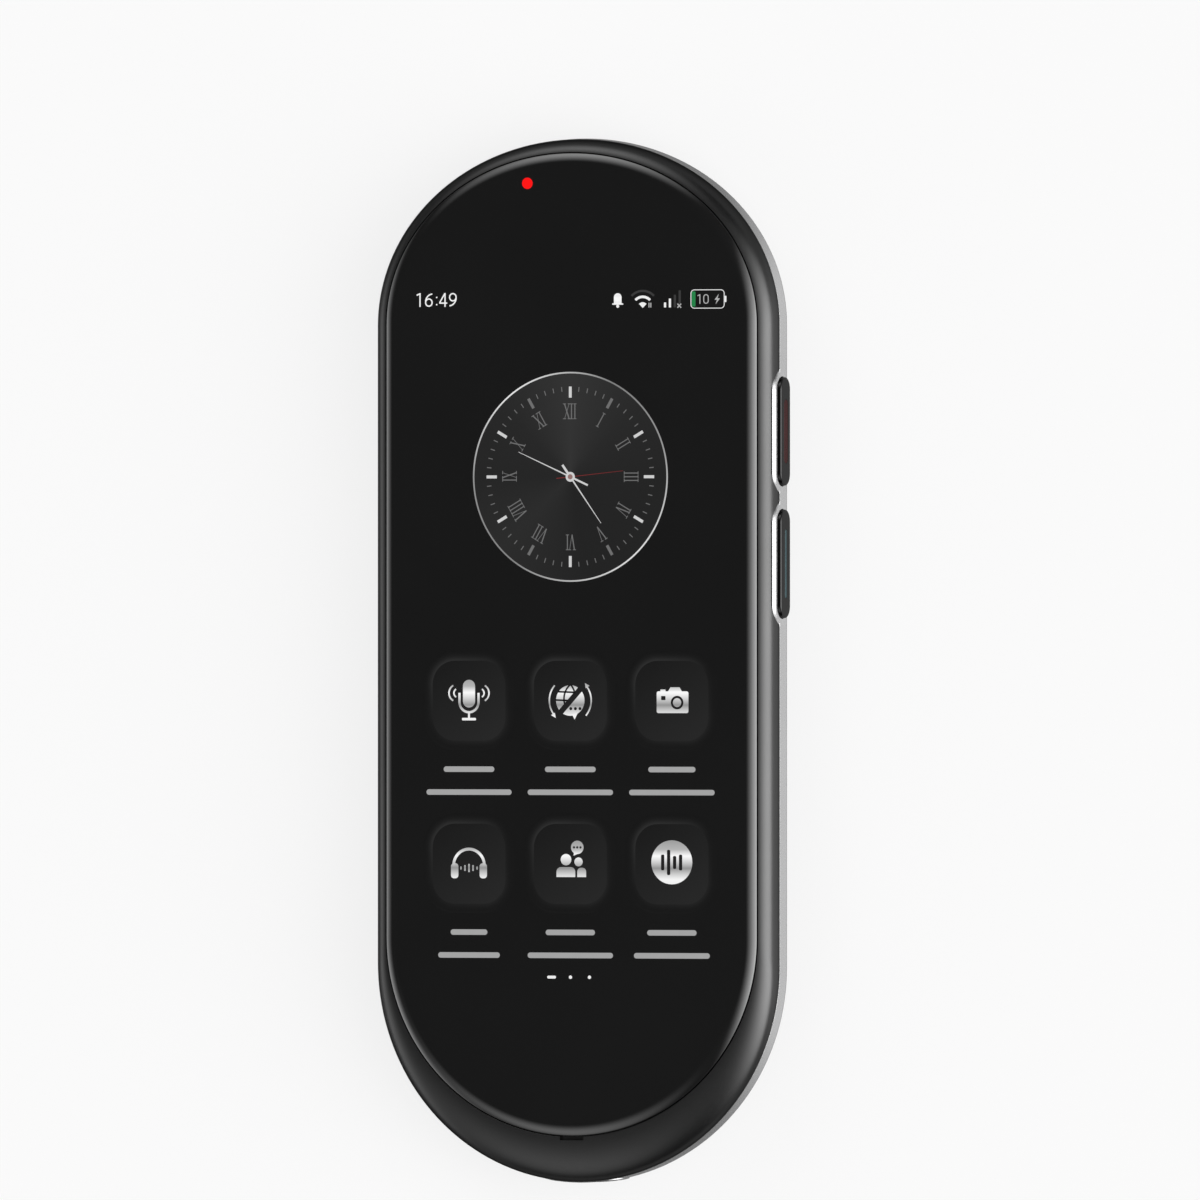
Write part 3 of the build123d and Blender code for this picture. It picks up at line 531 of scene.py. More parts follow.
def wall_slot(length, width, x, y, z):
    """Opening in the wall of the band that leaves a key or a door its clearance."""
    points = stadium(length + 2 * KEY_CLEAR, width + 2 * KEY_CLEAR, (y, z))
    return straight(points, "x", x)


RIM_LEAN = radians(10)
RIM_STEPS = 22
RIM_SKIRT = 1.5
RIM_INNER = 2.75
RIM_FOOT_SHARE = 0.01
DECK_WIDTH = 1.6
MIC_SLOT = ((-1.6, 1.6), (-60.6, -60.0), (10.45, 12))
KEY_ROOM_X = (24.0, INNER_WALL_X)
KEY_ROOM_Z = (6.5, 9.95)
POWER_ROOM = ((-INNER_WALL_X, -24), around(POWER_Y, POWER_LENGTH / 2 + 0.4), (PLATE_HIGH, 8.2))


def front_rim():
    """Dark convex rim, widest at the chin, with the deck that carries the glass."""
    profile = [(GLASS_POCKET, DECK_HIGH), (GLASS_POCKET, RIM_HIGH - 0.04)]
    for step in range(RIM_STEPS + 1):
        angle = RIM_LEAN + (pi / 2 - RIM_LEAN) * step / RIM_STEPS
        z = BAND_HIGH + (RIM_HIGH - BAND_HIGH) * cos(angle) / cos(RIM_LEAN)
        share = (1 - RIM_FOOT_SHARE) * (sin(angle) - sin(RIM_LEAN)) / (1 - sin(RIM_LEAN))
        profile.append((between(GLASS_POCKET, BAND_FRONT, RIM_FOOT_SHARE + share), z))
    skirt_low = PLATE_HIGH + 0.05
    profile += [
        (inset(BODY, RIM_SKIRT), BAND_HIGH),
        (inset(BODY, RIM_SKIRT), skirt_low),
        (inset(BODY, RIM_INNER), skirt_low),
        (inset(BODY, RIM_INNER), DECK_LOW),
        (inset(GLASS, DECK_WIDTH), DECK_LOW),
        (inset(GLASS, DECK_WIDTH), DECK_HIGH),
    ]
    rim = lofted("front_rim_shell", [outline_loop(o, z) for o, z in profile], closed=True)
    for side, y in KEY_Y.items():
        room = block(KEY_ROOM_X, around(y, KEY_ROOM_REACH), KEY_ROOM_Z)
        cut(rim, talk_pad(side, SEAM), room)
    cut(rim, block(*MIC_SLOT), block(*POWER_ROOM))
    return dressed(shaded(rim), "rim", replaces=["front_rim"])


# ---------- Silver band with its pads, and the plate inside it ----------

BAND_EDGE = 0.03
TRAY_SLOT = (5.35, 0.55)


def silver_band():
    outer = [
        (inset(BODY, BAND_EDGE), BAND_LOW),
        (inset(BODY, 0.01), BAND_LOW + BAND_EDGE),
        (inset(BAND_FRONT, 0.0), BAND_HIGH - BAND_EDGE),
        (inset(BAND_FRONT, BAND_EDGE), BAND_HIGH),
    ]
    inner = [(inset(BODY, BAND_WALL), BAND_HIGH), (inset(BODY, BAND_WALL), BAND_LOW)]
    band = lofted("silver_band", [outline_loop(o, z) for o, z in outer + inner], closed=True)
    for pad in all_pads():
        combine(band, pad, "UNION")
    for y in KEY_Y.values():
        cut(band, wall_slot(KEY_LENGTH, KEY_WIDTH, RIGHT_WALL, y, KEY_Z))
    cut(band, wall_slot(POWER_LENGTH, POWER_WIDTH, LEFT_WALL, POWER_Y, POWER_Z))
    recess = (LEFT_WALL[0], -BODY.half_width + DOOR_DEPTH + 0.05)
    cut(band, wall_slot(DOOR_LENGTH, DOOR_WIDTH, recess, TRAY_Y, TRAY_Z))
    cut(band, block(LEFT_WALL, around(TRAY_Y, TRAY_SLOT[0]), around(TRAY_Z, TRAY_SLOT[1])))
    mouth = stadium(USB_WIDTH + USB_CLEAR, USB_HEIGHT + USB_CLEAR, (0, USB_Z))
    cut(band, straight(mouth, "y", CHIN_WALL))
    return dressed(shaded(band), "band", replaces=["mid_frame"])


USB_ROOM_X = (-5.07, 5.07)
PLATE_CUTS = {
    "talk_keys": ((22.6, 30), (3.3, 38.2)),
    "power_key": ((-30, -22.6), around(POWER_Y, 6.8)),
    "display_flex": ((-9.5, 9.5), (50.1, 51.6)),
    "usb_socket": (USB_ROOM_X, (-64.5, -57.45)),
}
PLATE_CUTS_Z = (6, 9)


def frame_plate():
    """Plate behind the display, with its cut-outs."""
    loops = [outline_loop(inset(BODY, BAND_WALL - 0.01), z) for z in (PLATE_LOW, PLATE_HIGH)]
    plate = lofted("frame_plate", loops)
    for x, y in PLATE_CUTS.values():
        cut(plate, block(x, y, PLATE_CUTS_Z))
    return dressed(shaded(plate), "band")


# ---------- Back shell ----------

CAMERA_Y = 47.5
CAMERA_X = -4.5
CAMERA_HOLE = 3.5
FLASH_X = 6.5
FLASH_HOLE = 1.6
WINDOW_LENGTH = 24
WINDOW_WIDTH = 11
WINDOW_DEPTH = 0.9
SPEAKER_Y = -43.75
SPEAKER_SLOTS = 9
SPEAKER_PITCH = 2.4
SLOT_WIDTH = 1.1
SLOT_LONGEST = 8.0

# The bowl's section is part of an ellipse: how oval it is, and the lean of its wall under the band
BACK_LEAN = 0.42
BACK_OVAL = 0.5
BACK_ANGLE = atan(BACK_OVAL / BACK_LEAN)
BACK_HEIGHT = COVER_HIGH / (1 - cos(BACK_ANGLE))

# Distance inside the outer form, steps, and the share of the section from the base up
BOWL_OUTSIDE = (0.0, 26, 0.995)
BOWL_HOLLOW = (COVER_WALL, 12, 0.72)
TRAY_ROOM = ((-26.2, -24), around(TRAY_Y, 7.3), (5.4, 7.5))
USB_ROOM = (USB_ROOM_X, (-65.2, -60), (USB_Z - USB_HEIGHT / 2 - 0.15, 7.5))


def bowl_profile(wall, steps, share):
    """(outline, z) pairs of the bowl's outer form, or of its hollow, from the base up."""
    pairs = []
    for step in range(steps + 1):
        angle = BACK_ANGLE * share * step / steps
        slope = hypot(sin(angle), BACK_OVAL * cos(angle))
        outside = BACK_OVAL * BACK_HEIGHT * (sin(BACK_ANGLE) - sin(angle))
        drawn_in = outside + wall * sin(angle) / slope
        z = BACK_HEIGHT * (1 - cos(angle)) + wall * BACK_OVAL * cos(angle) / slope
        pairs.append((inset(BODY, drawn_in), z))
    return pairs


def speaker_slots():
    slots = []
    middle = (SPEAKER_SLOTS - 1) / 2
    for index in range(SPEAKER_SLOTS):
        off = (index - middle) / (middle + 1)
        length = SLOT_LONGEST * sqrt(1 - off**2)
        centre = ((index - middle) * SPEAKER_PITCH, SPEAKER_Y)
        points = [(centre[0] - b, centre[1] + a) for a, b in stadium(length, SLOT_WIDTH, steps=10)]
        slots.append(straight(points, "z", (-1, 2.2)))
    return joined("slots", slots)


def back_shell():
    """Dark bowl-shaped back with the camera recess and the speaker slots."""
    outer = bowl_profile(*BOWL_OUTSIDE)
    top = [(inset(BODY, 0.08), COVER_HIGH), (inset(BODY, COVER_LEDGE), COVER_HIGH)]
    inner = bowl_profile(*BOWL_HOLLOW)
    loops = [outline_loop(o, z) for o, z in outer + top + inner[::-1]]
    shell = lofted("back_shell", loops)
    cut(shell, *all_pads(SEAM))
    window = stadium(WINDOW_LENGTH, WINDOW_WIDTH, (0, CAMERA_Y), 32)
    cut(shell, straight(window, "z", (-1, WINDOW_DEPTH)))
    for x, radius in [(CAMERA_X, CAMERA_HOLE), (FLASH_X, FLASH_HOLE)]:
        cut(shell, straight(circle(radius, (x, CAMERA_Y)), "z", (0.5, 2)))
    cut(shell, speaker_slots(), block(*TRAY_ROOM), block(*USB_ROOM))
    return dressed(shaded(shell), "back", replaces=["back_cover"])


# ---------- Side keys ----------

EAR_X = INNER_WALL_X - 0.05
EAR_THICK = 0.7
EAR_REACH = 2.7
STEM_X = 24.45
STEM_SIZE = (1, 0.6)
KEY_FACE_X = BODY.half_width + 0.5
POWER_FACE_X = BODY.half_width + 0.4
KEY_EAR_HEIGHT = 2.5
POWER_EAR_HEIGHT = 1.6
KEY_FILLET = 0.2
INLAY_DEPTH = 0.3
INLAY_EDGE = [(0.01, INLAY_DEPTH), (0.01, 0.04), (0.04, 0.01)]
INLAY = {"upper": (8.1, 1.3), "lower": (8.7, 0.6)}
INLAY_COLOUR = {"upper": "red_inlay", "lower": "teal_inlay"}
PLUNGER_Z = 7.7


def key_solid(name, sign, y, z, length, width, face_x, ear_height, plunger_z):
    """Press key: rounded cap, ears that hold it in, and the plunger that meets its switch."""
    points = stadium(length, width, (y, z))
    loops = [placed(points, "x", sign * (EAR_X - EAR_THICK))]
    for drawn_in, drop in rounded_edge(KEY_FILLET):
        edge = stadium(length - 2 * drawn_in, width - 2 * drawn_in, (y, z))
        loops.append(placed(edge, "x", sign * (face_x - drop)))
    key = lofted(name, loops)
    ears_x = sorted((sign * (EAR_X - EAR_THICK + 0.01), sign * EAR_X))
    ears = block(ears_x, around(y, (length + EAR_REACH) / 2), around(z, ear_height / 2))
    stem_x = sorted((sign * STEM_X, sign * (EAR_X - 0.1)))
    stem = block(stem_x, around(y, STEM_SIZE[0]), around(plunger_z, STEM_SIZE[1]))
    combine(key, ears, "UNION")
    return combine(key, stem, "UNION")


def talk_key(side):
    """Talk key with the groove for its inlay, and the coloured inlay bar."""
    at = (KEY_Y[side], KEY_Z)
    size = (KEY_LENGTH, KEY_WIDTH, KEY_FACE_X, KEY_EAR_HEIGHT)
    key = key_solid(f"{side}_key_cap", 1, *at, *size, PLUNGER_Z)
    length, width = INLAY[side]
    cut(key, straight(stadium(length, width, at), "x", (KEY_FACE_X - INLAY_DEPTH, KEY_FACE_X + 1)))
    dressed(shaded(key), "key", f"{side}_key", [f"{side}_talk_key"])
    loops = []
    for drawn_in, depth in INLAY_EDGE:
        edge = stadium(length - 2 * drawn_in, width - 2 * drawn_in, at)
        loops.append(placed(edge, "x", KEY_FACE_X - depth))
    inlay = shaded(lofted(f"{side}_inlay_bar", loops))
    dressed(inlay, INLAY_COLOUR[side], f"{side}_key", [f"{side}_key_inlay"])


def power_key():
    at = (POWER_Y, POWER_Z)
    size = (POWER_LENGTH, POWER_WIDTH, POWER_FACE_X, POWER_EAR_HEIGHT)
    key = key_solid("power_key_cap", -1, *at, *size, POWER_Z)
    dressed(shaded(key), "key", "power_button", ["power_key"])


dress_cad_nodes()
glass_front()
front_rim()
silver_band()
frame_plate()
back_shell()
talk_key("upper")
talk_key("lower")
power_key()

# Lit screen: thin inlays in the glass, each a closed solid. Places are (u, v) on the screen, from
# the middle of the body.

LAYER = 0.01
INLAY_ROOT = 0.03


def flat_piece(name, shapes, level):
    """Thin solids let into the glass. A shape is [loop], or [outer, inner] for a hoop."""
    bm = bmesh.new()

    def raised(shape, z):
        return [[bm.verts.new(Vector((u, v, z)) * MM) for u, v in loop] for loop in shape]

    for shape in shapes:
        tops = raised(shape, SCREEN_Z + level * LAYER)
        lows = raised(shape, SCREEN_Z - INLAY_ROOT)
        walls = list(zip(tops, lows))
        if len(shape) == 2:
            walls += [(tops[0], tops[1]), (lows[0], lows[1])]
        else:
            bm.faces.new(tops[0])
            bm.faces.new(lows[0])
        for a, b in walls:
            for i in range(len(a)):
                j = (i + 1) % len(a)
                bm.faces.new((a[i], a[j], b[j], b[i]))
    bmesh.ops.recalc_face_normals(bm, faces=bm.faces)
    return mesh_object(name, bm)


def disc(u, v, radius):
    return [circle(radius, (u, v), 40)]


def hoop(u, v, radius, width, steps=40):
    return [circle(r, (u, v), steps) for r in (radius, radius - width)]


def hollow_box(width, height, radius, wall, at):
    return [rounded_box(width - 2 * t, height - 2 * t, radius - t, at) for t in (0, wall)]


def bar(u, v, width, height, radius=None):
    if radius is None:
        radius = min(width, height) / 2 * 0.98
    return [rounded_box(width, height, radius, (u, v))]


def arc(u, v, radius, width, start, stop, steps=24):
    """Band of even width along an arc, in degrees."""
    angles = [radians(start + (stop - start) * step / steps) for step in range(steps + 1)]
    radii = (radius + width / 2, radius - width / 2)
    outer, inner = ([(u + r * cos(a), v + r * sin(a)) for a in angles] for r in radii)
    return [outer + inner[::-1]]


def line(start, stop, width, end_width=None):
    """Straight stroke between two points, tapered if its end width differs."""
    end_width = width if end_width is None else end_width
    a, b = Vector(start), Vector(stop)
    along = b - a
    side = Vector((-along.y, along.x)).normalized() / 2
    corners = [a + side * width, a - side * width, b - side * end_width, b + side * end_width]
    return [[tuple(c) for c in corners]]


def turned(shapes, degrees, about=(0, 0)):
    """The shapes turned clockwise about a point, as a clock's hand turns."""
    a = radians(-degrees)
    u0, v0 = about

    def turn(point):
        u, v = point[0] - u0, point[1] - v0
        return (u0 + u * cos(a) - v * sin(a), v0 + u * sin(a) + v * cos(a))

    return [[[turn(p) for p in loop] for loop in shape] for shape in shapes]


def shifted(shapes, du, dv):
    return [[[(u + du, v + dv) for u, v in loop] for loop in shape] for shape in shapes]


GLOW_GRAIN = 900
GLOW_LOW = 0.97


def lit(name, glow):
    """Lit part of the screen, seen through the glossy glass. Its glow is a colour or a function."""
    material, tree, shader = node_material(name)
    set_sockets(shader, {"Base Color": BLACK + (1,), "IOR": GLASS_IOR, "Emission Strength": 1.0})
    even = noise(tree, GLOW_GRAIN)
    if callable(glow):
        emission = glow(tree)
    else:
        low = tuple(c * GLOW_LOW for c in glow) + (1,)
        emission = ramp(tree, even, [(0.2, low), (0.6, glow + (1,))])
    tree.links.new(emission, shader.inputs["Emission Color"])
    tree.links.new(ramp(tree, even, [(0.3, 0.1), (0.7, 0.12)]), shader.inputs["Roughness"])
    return material


def round_glow(stops):
    """Glow that goes round the clock's middle, as on a brushed dial."""

    def glow(tree):
        mapping = tree.nodes.new("ShaderNodeMapping")
        set_sockets(mapping, {"Location": (-CLOCK[0] * MM, -CLOCK[1] * MM, 0)})
        sweep = tree.nodes.new("ShaderNodeTexGradient")
        sweep.gradient_type = "RADIAL"
        tree.links.new(object_place(tree), mapping.inputs["Vector"])
        tree.links.new(mapping.outputs["Vector"], sweep.inputs["Vector"])
        return ramp(tree, sweep.outputs["Fac"], stops)

    return glow


def silver_glow(tree):
    """The same upright gradient for the pictograms in each row of tiles."""
    above = math_node(tree, "SUBTRACT", object_y(tree), (TILE_TOP[1] - SILVER_FOOT) * MM)
    rows = math_node(tree, "DIVIDE", above, TILE_PITCH[1] * MM)
    share = 2 * SILVER_FOOT / TILE_PITCH[1]
    stops = [(place * share, grey) for place, grey in SILVER_STOPS]
    return ramp(tree, math_node(tree, "FRACT", rows), stops)


def mesh_glow(tree):
    """Glow as the mesh's own attribute says."""
    attribute = tree.nodes.new("ShaderNodeAttribute")
    attribute.attribute_name = "glow"
    return attribute.outputs["Color"]


CLOCK = (0.05, 23.2)
TILE_PITCH = (13.8, 20.6)
TILE_TOP = (0.05, -5.1)
TILE_SIZE = (9.9, 10.1)
TILE_RADIUS = 3.0

DIAL_STOPS = [
    (0.0, 0.010), (0.12, 0.016), (0.28, 0.008), (0.5, 0.009),
    (0.62, 0.013), (0.75, 0.024), (0.88, 0.012), (1.0, 0.010),
]
RING_STOPS = [
    (0.0, 0.28), (0.15, 0.22), (0.37, 0.75), (0.55, 0.3),
    (0.68, 0.2), (0.85, 0.8), (1.0, 0.28),
]
SILVER_STOPS = [(0.0, 0.85), (0.17, 0.9), (0.41, 0.28), (0.68, 0.95), (0.82, 0.45), (1.0, 0.34)]
SILVER_FOOT = 2.9

GLOWS = {
    "white": (0.85,) * 3,
    "grey": (0.15,) * 3,
    "label": (0.36,) * 3,
    "soft": (0.45,) * 3,
    "faint": (0.035,) * 3,
    "dark": (0.006,) * 3,
    "tick": (0.62,) * 3,
    "green": (0.012, 0.22, 0.06),
    "red": (0.19, 0.018, 0.018),
    "pivot": (0.28, 0.16, 0.15),
    "lamp": (1.0, 0.0, 0.0),
    "glow": mesh_glow,
    "dial": round_glow(DIAL_STOPS),
    "ring": round_glow(RING_STOPS),
    "silver": silver_glow,
}
SCREEN = {name: lit(f"screen_{name}", glow) for name, glow in GLOWS.items()}


def screen_piece(name, shapes, level, glow):
    obj = flat_piece(name, shapes, level)
    obj.data.materials.append(SCREEN[glow])
    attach(obj, "housing")


# Roman numerals as strokes: each letter is (width, strokes from (x, y) to (x, y) with their width)
STROKE = {
    "I": (0.62, [((0.31, 0), (0.31, 1), 0.17)]),
    "V": (1.05, [((0.08, 1), (0.52, 0), 0.19), ((0.52, 0), (0.97, 1), 0.09)]),
    "X": (1.05, [((0.08, 1), (0.95, 0), 0.19), ((0.1, 0), (0.95, 1), 0.09)]),
}
SERIFS = {
    "I": [(0.31, 0), (0.31, 1)],
    "V": [(0.08, 1), (0.97, 1)],
    "X": [(0.08, 1), (0.95, 1), (0.1, 0), (0.95, 0)],
}
NUMERALS = ["XII", "I", "II", "III", "IV", "V", "VI", "VII", "VIII", "IX", "X", "XI"]
NUMERAL_HEIGHT = 1.95
NUMERAL_SQUEEZE = 0.75
NUMERAL_RADIUS = 7.3
SERIF_WIDTH = 0.56
SERIF_HEIGHT = 0.09
SERIF_INSET = 0.035
SERIF_ROUND = 0.03


def numeral_shapes(text):
    """Strokes of one Roman numeral, upright, its foot on v = 0 and centred on u = 0."""
    shapes = []
    u = -sum(STROKE[letter][0] for letter in text) * NUMERAL_SQUEEZE / 2
    for letter in text:
        width, strokes = STROKE[letter]
        for (x0, y0), (x1, y1), thick in strokes:
            a = (u + x0 * NUMERAL_SQUEEZE, y0 * NUMERAL_HEIGHT)
            b = (u + x1 * NUMERAL_SQUEEZE, y1 * NUMERAL_HEIGHT)
            shapes.append(line(a, b, thick * NUMERAL_SQUEEZE))
        for x, y in SERIFS[letter]:
            rise = SERIF_INSET if y == 0 else -SERIF_INSET
            at = (u + x * NUMERAL_SQUEEZE, y * NUMERAL_HEIGHT + rise)
            shapes.append(bar(*at, SERIF_WIDTH * NUMERAL_SQUEEZE, SERIF_HEIGHT, SERIF_ROUND))
        u += width * NUMERAL_SQUEEZE
    return shapes


DIAL_RADIUS = 13.1
RING_RADIUS = 13.26
RING_WIDTH = 0.19
TICK_TOP = 11.4
MINUTE_TICK = (10.8, 0.11)
HOUR_TICK = (10.0, 0.38)
DIM_HOUR_TICKS = (5, 25, 35, 55)
HUB_RADIUS = 0.62
PIVOT_RADIUS = 0.33
# Reach of the tip, its width, the width at the hub, reach of the tail, its width, and the turn
HOUR_HAND = (7.2, 0.06, 0.2, 1.85, 0.3, 144.5)
MINUTE_HAND = (7.7, 0.06, 0.18, 2.6, 0.24, 294)
# Reach of the tip, its width, reach of the tail, its width, and the turn
SECOND_HAND = (7.2, 0.05, 1.9, 0.1, 84)


def hand(tip, tip_width, width, tail, tail_width, degrees):
    """Hand of the clock with its tail, turned to its time."""
    u, v = CLOCK
    blade = line((u, v + tip), (u, v), tip_width, width)
    return turned([blade, line((u, v), (u, v - tail), tail_width)], degrees, CLOCK)


def clock():
    """Dial with a silver ring, ticks, Roman numerals and three hands."""
    u, v = CLOCK
    screen_piece("clock_dial", [disc(u, v, DIAL_RADIUS)], 1, "dial")
    screen_piece("clock_ring", [hoop(u, v, RING_RADIUS, RING_WIDTH, 120)], 2, "ring")
    bright, dim, numerals = [], [], []
    for tick in range(60):
        foot, width = MINUTE_TICK if tick % 5 else HOUR_TICK
        group = dim if tick % 5 or tick in DIM_HOUR_TICKS else bright
        group += turned([line((u, v + foot), (u, v + TICK_TOP), width)], tick * 6, CLOCK)
    for hour, text in enumerate(NUMERALS):
        upright = shifted(numeral_shapes(text), u, v + NUMERAL_RADIUS)
        numerals += turned(upright, hour * 30, CLOCK)
    screen_piece("clock_ticks", bright, 2, "tick")
    screen_piece("clock_minute_ticks", dim, 2, "grey")
    screen_piece("clock_numerals", numerals, 2, "grey")
    screen_piece("clock_hands", hand(*HOUR_HAND) + hand(*MINUTE_HAND), 3, "tick")
    tip, tip_width, tail, tail_width, degrees = SECOND_HAND
    needle = line((u, v + tip), (u, v - tail), tip_width, tail_width)
    screen_piece("clock_second_hand", turned([needle], degrees, CLOCK), 3.5, "red")
    screen_piece("clock_hub", [disc(u, v, HUB_RADIUS)], 4, "tick")
    screen_piece("clock_pivot", [disc(u, v, PIVOT_RADIUS)], 5, "pivot")


def tile_centres():
    u, v = TILE_TOP
    places = [(column, row) for row in (0, 1) for column in (-1, 0, 1)]
    return [(u + column * TILE_PITCH[0], v - row * TILE_PITCH[1]) for column, row in places]


LIGHT_SIDE = Vector((-0.55, 0.84))
# How far each row of a tile's halo is grown out of the tile, and its share of the glow there
HALO_ROWS = [(1.3, 0.0), (1.0, 0.02), (0.7, 0.14), (0.45, 0.38), (0.2, 0.78), (0.03, 1.0)]
HALO_SLOPE = 4
HALO_LEAST = 0.002
HALO_TOWARD = 0.0165
HALO_AWAY = -0.005
FILL_ROWS = [0.0, -1.2, -2.4, -3.4]
FILL_LEAST = 0.0015
FILL_RANGE = 0.0105
FILL_SPAN = 13.0
TILE_SINK = 0.002


def app_tiles():
    """Six dark tiles that seem raised.

    Round them is a soft glow, strongest towards the light. They are lighter away from it.
    """
    bm = bmesh.new()
    layer = bm.verts.layers.float_color.new("glow")

    def row(centre, grow, shade):
        verts = []
        w, h = TILE_SIZE
        z = SCREEN_Z + LAYER * min(1, HALO_SLOPE * (HALO_ROWS[0][0] - grow)) - TILE_SINK
        radius = max(TILE_RADIUS + grow, 0.3)
        for u, v in rounded_box(w + 2 * grow, h + 2 * grow, radius, centre, 10):
            vert = bm.verts.new(Vector((u, v, z)) * MM)
            level = shade(Vector((u - centre[0], v - centre[1])))
            vert[layer] = (level, level, level, 1)
            verts.append(vert)
        return verts

    def fill(offset):
        share = min(max(0.5 - offset.dot(LIGHT_SIDE) / FILL_SPAN, 0), 1)
        return FILL_LEAST + FILL_RANGE * share

    def halo(fade):
        def level(offset):
            toward = offset.normalized().dot(LIGHT_SIDE)
            return fade * (HALO_LEAST + max(HALO_TOWARD * toward, HALO_AWAY * toward))

        return level

    for centre in tile_centres():
        rows = [row(centre, grow, halo(fade)) for grow, fade in HALO_ROWS]
        rows += [row(centre, grow, fill) for grow in FILL_ROWS]
        low = [bm.verts.new(v.co - Vector((0, 0, INLAY_ROOT * MM))) for v in rows[0]]
        count = len(low)
        for a, b in zip([low] + rows, rows):
            for i in range(count):
                j = (i + 1) % count
                bm.faces.new((a[i], a[j], b[j], b[i]))
        bm.faces.new(rows[-1])
        bm.faces.new(low)
    bmesh.ops.recalc_face_normals(bm, faces=bm.faces)
    tiles = mesh_object("app_tiles", bm)
    tiles.data.materials.append(SCREEN["glow"])
    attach(tiles, "housing")


# Each glyph gives its silver shapes and its dark ones, in millimetres from the middle of its tile.


def microphone_glyph():
    silver = [bar(0, 0.85, 1.65, 3.5), arc(0, -0.2, 1.3, 0.3, 180, 360)]
    silver += [line((u, 0.95), (u, -0.22), 0.3) for u in (-1.3, 1.3)]
    silver += [line((0, -1.45), (0, -2.25), 0.26), bar(0, -2.37, 1.9, 0.32, 0.1)]
    for turn, sign in ((0, 1), (180, -1)):
        for middle, radius in ((1.5, 0.56), (1.65, 1.08)):
            silver.append(arc(sign * middle, 0.92, radius, 0.2, turn - 62, turn + 62))
    return silver, []


SLANT = 47.5


def cut_disc(radius, offset, side):
    """Part of a disc on one side of a slanting cut, that far from its middle."""
    half = acos(offset / radius)
    middle = radians(SLANT + 90 * side)
    angles = [middle - half + 2 * half * step / 40 for step in range(41)]
    return [[(radius * cos(a), radius * sin(a)) for a in angles]]


def globe_glyph():
    """Globe cut by a slanting gap from a speech bubble, between two turning arrows."""
    silver = [cut_disc(1.93, 0.34, 1), cut_disc(1.93, 0.4, -1)]
    silver.append([[(0.25, -1.8), (0.6, -2.4), (1.05, -1.5)]])
    for side in (180, 0):
        silver.append(arc(0, 0, 2.85, 0.19, side - 42, side + 36))
        silver += turned([[[(-1.98, -2.2), (-2.62, -1.86), (-2.1, -1.55)]]], side + 180)
    dark = [line((-2, 1.12), (1.3, 1.0), 0.23), line((-2, 0.06), (0.2, -0.02), 0.23)]
    dark += [arc(1.5, 0.2, 2.35, 0.23, 112, 200), arc(-1.9, 0.3, 2.6, 0.23, 10, 42)]
    dark += [disc(0.07 + 0.63 * i, -1.03, 0.2) for i in range(3)]
    return silver, dark


def camera_glyph():
    hump = [[(-0.55, 1.1), (-0.2, 1.68), (1.05, 1.68), (1.4, 1.1)]]
    silver = [bar(0.1, -0.2, 4.3, 2.75, 0.25), hump, bar(-1.2, 1.25, 0.7, 0.3, 0.08)]
    dark = [hoop(0.72, -0.25, 0.86, 0.3), bar(-1.15, 0.32, 0.6, 0.52, 0.08)]
    return silver, dark


def headphone_glyph():
    silver = [arc(0, -0.3, 2.1, 0.36, 0, 180)]
    silver += [bar(u, -0.95, 1.0, 1.9, 0.4) for u in (-1.95, 1.95)]
    wave = [0.4, 0.75, 1.05, 0.75, 0.4]
    silver += [bar(0.55 * (i - 2), -0.6, 0.22, height, 0.1) for i, height in enumerate(wave)]
    return silver, []


def shoulders(u, v, width, height, radius):
    """Bust of a pictogram: flat below, with two round shoulders above."""
    points = [(u + width / 2, v)]
    for side in (1, -1):
        for step in range(9):
            a = pi / 2 * (step if side == 1 else 8 - step) / 8
            across = side * (width / 2 - radius) + side * radius * cos(a)
            points.append((u + across, v + height - radius + radius * sin(a)))
    return [points + [(u - width / 2, v)]]


def group_glyph():
    silver = [disc(-0.58, 0.5, 0.72), shoulders(-0.6, -1.7, 2.55, 1.25, 0.6)]
    silver += [disc(1.12, 0.22, 0.56), shoulders(1.55, -1.7, 1.2, 1.18, 0.5)]
    silver += [disc(0.95, 2.05, 0.85), [[(0.5, 1.5), (1.2, 1.3), (0.45, 1.0)]]]
    dark = [disc(0.95 + 0.44 * i, 2.05, 0.15) for i in (-1, 0, 1)]
    return silver, dark


def voice_glyph():
    silver = [disc(0, 0.2, 2.78)]
    heights = [2.0, 3.2, 1.65, 2.0]
    dark = [bar((i - 1.5) * 0.81 - 0.02, 0.18, 0.45, h, 0.18) for i, h in enumerate(heights)]
    return silver, dark


GLYPH_RISE = 0.05
LABEL_DROP = 8.65
LABEL_PITCH = 2.9
LABEL_HEIGHT = 0.7
GLYPHS = [microphone_glyph, globe_glyph, camera_glyph, headphone_glyph, group_glyph, voice_glyph]
LABEL_LINES = [(6.9, 11.6), (6.9, 11.6), (6.4, 11.6), (5.0, 8.4), (6.7, 11.6), (6.7, 10.3)]


def glyphs_and_labels():
    """Silver pictograms on the tiles, and two plain bars under each in the place of words."""
    silver, dark, labels = [], [], []
    for (u, v), glyph, lines in zip(tile_centres(), GLYPHS, LABEL_LINES):
        light_shapes, dark_shapes = glyph()
        silver += shifted(light_shapes, u, v + GLYPH_RISE)
        dark += shifted(dark_shapes, u, v + GLYPH_RISE)
        for row, length in enumerate(lines):
            labels.append(bar(u, v - LABEL_DROP - row * LABEL_PITCH, length, LABEL_HEIGHT))
    screen_piece("app_glyphs", silver, 2, "silver")
    screen_piece("app_glyph_details", dark, 3, "dark")
    screen_piece("label_bars", labels, 1, "label")


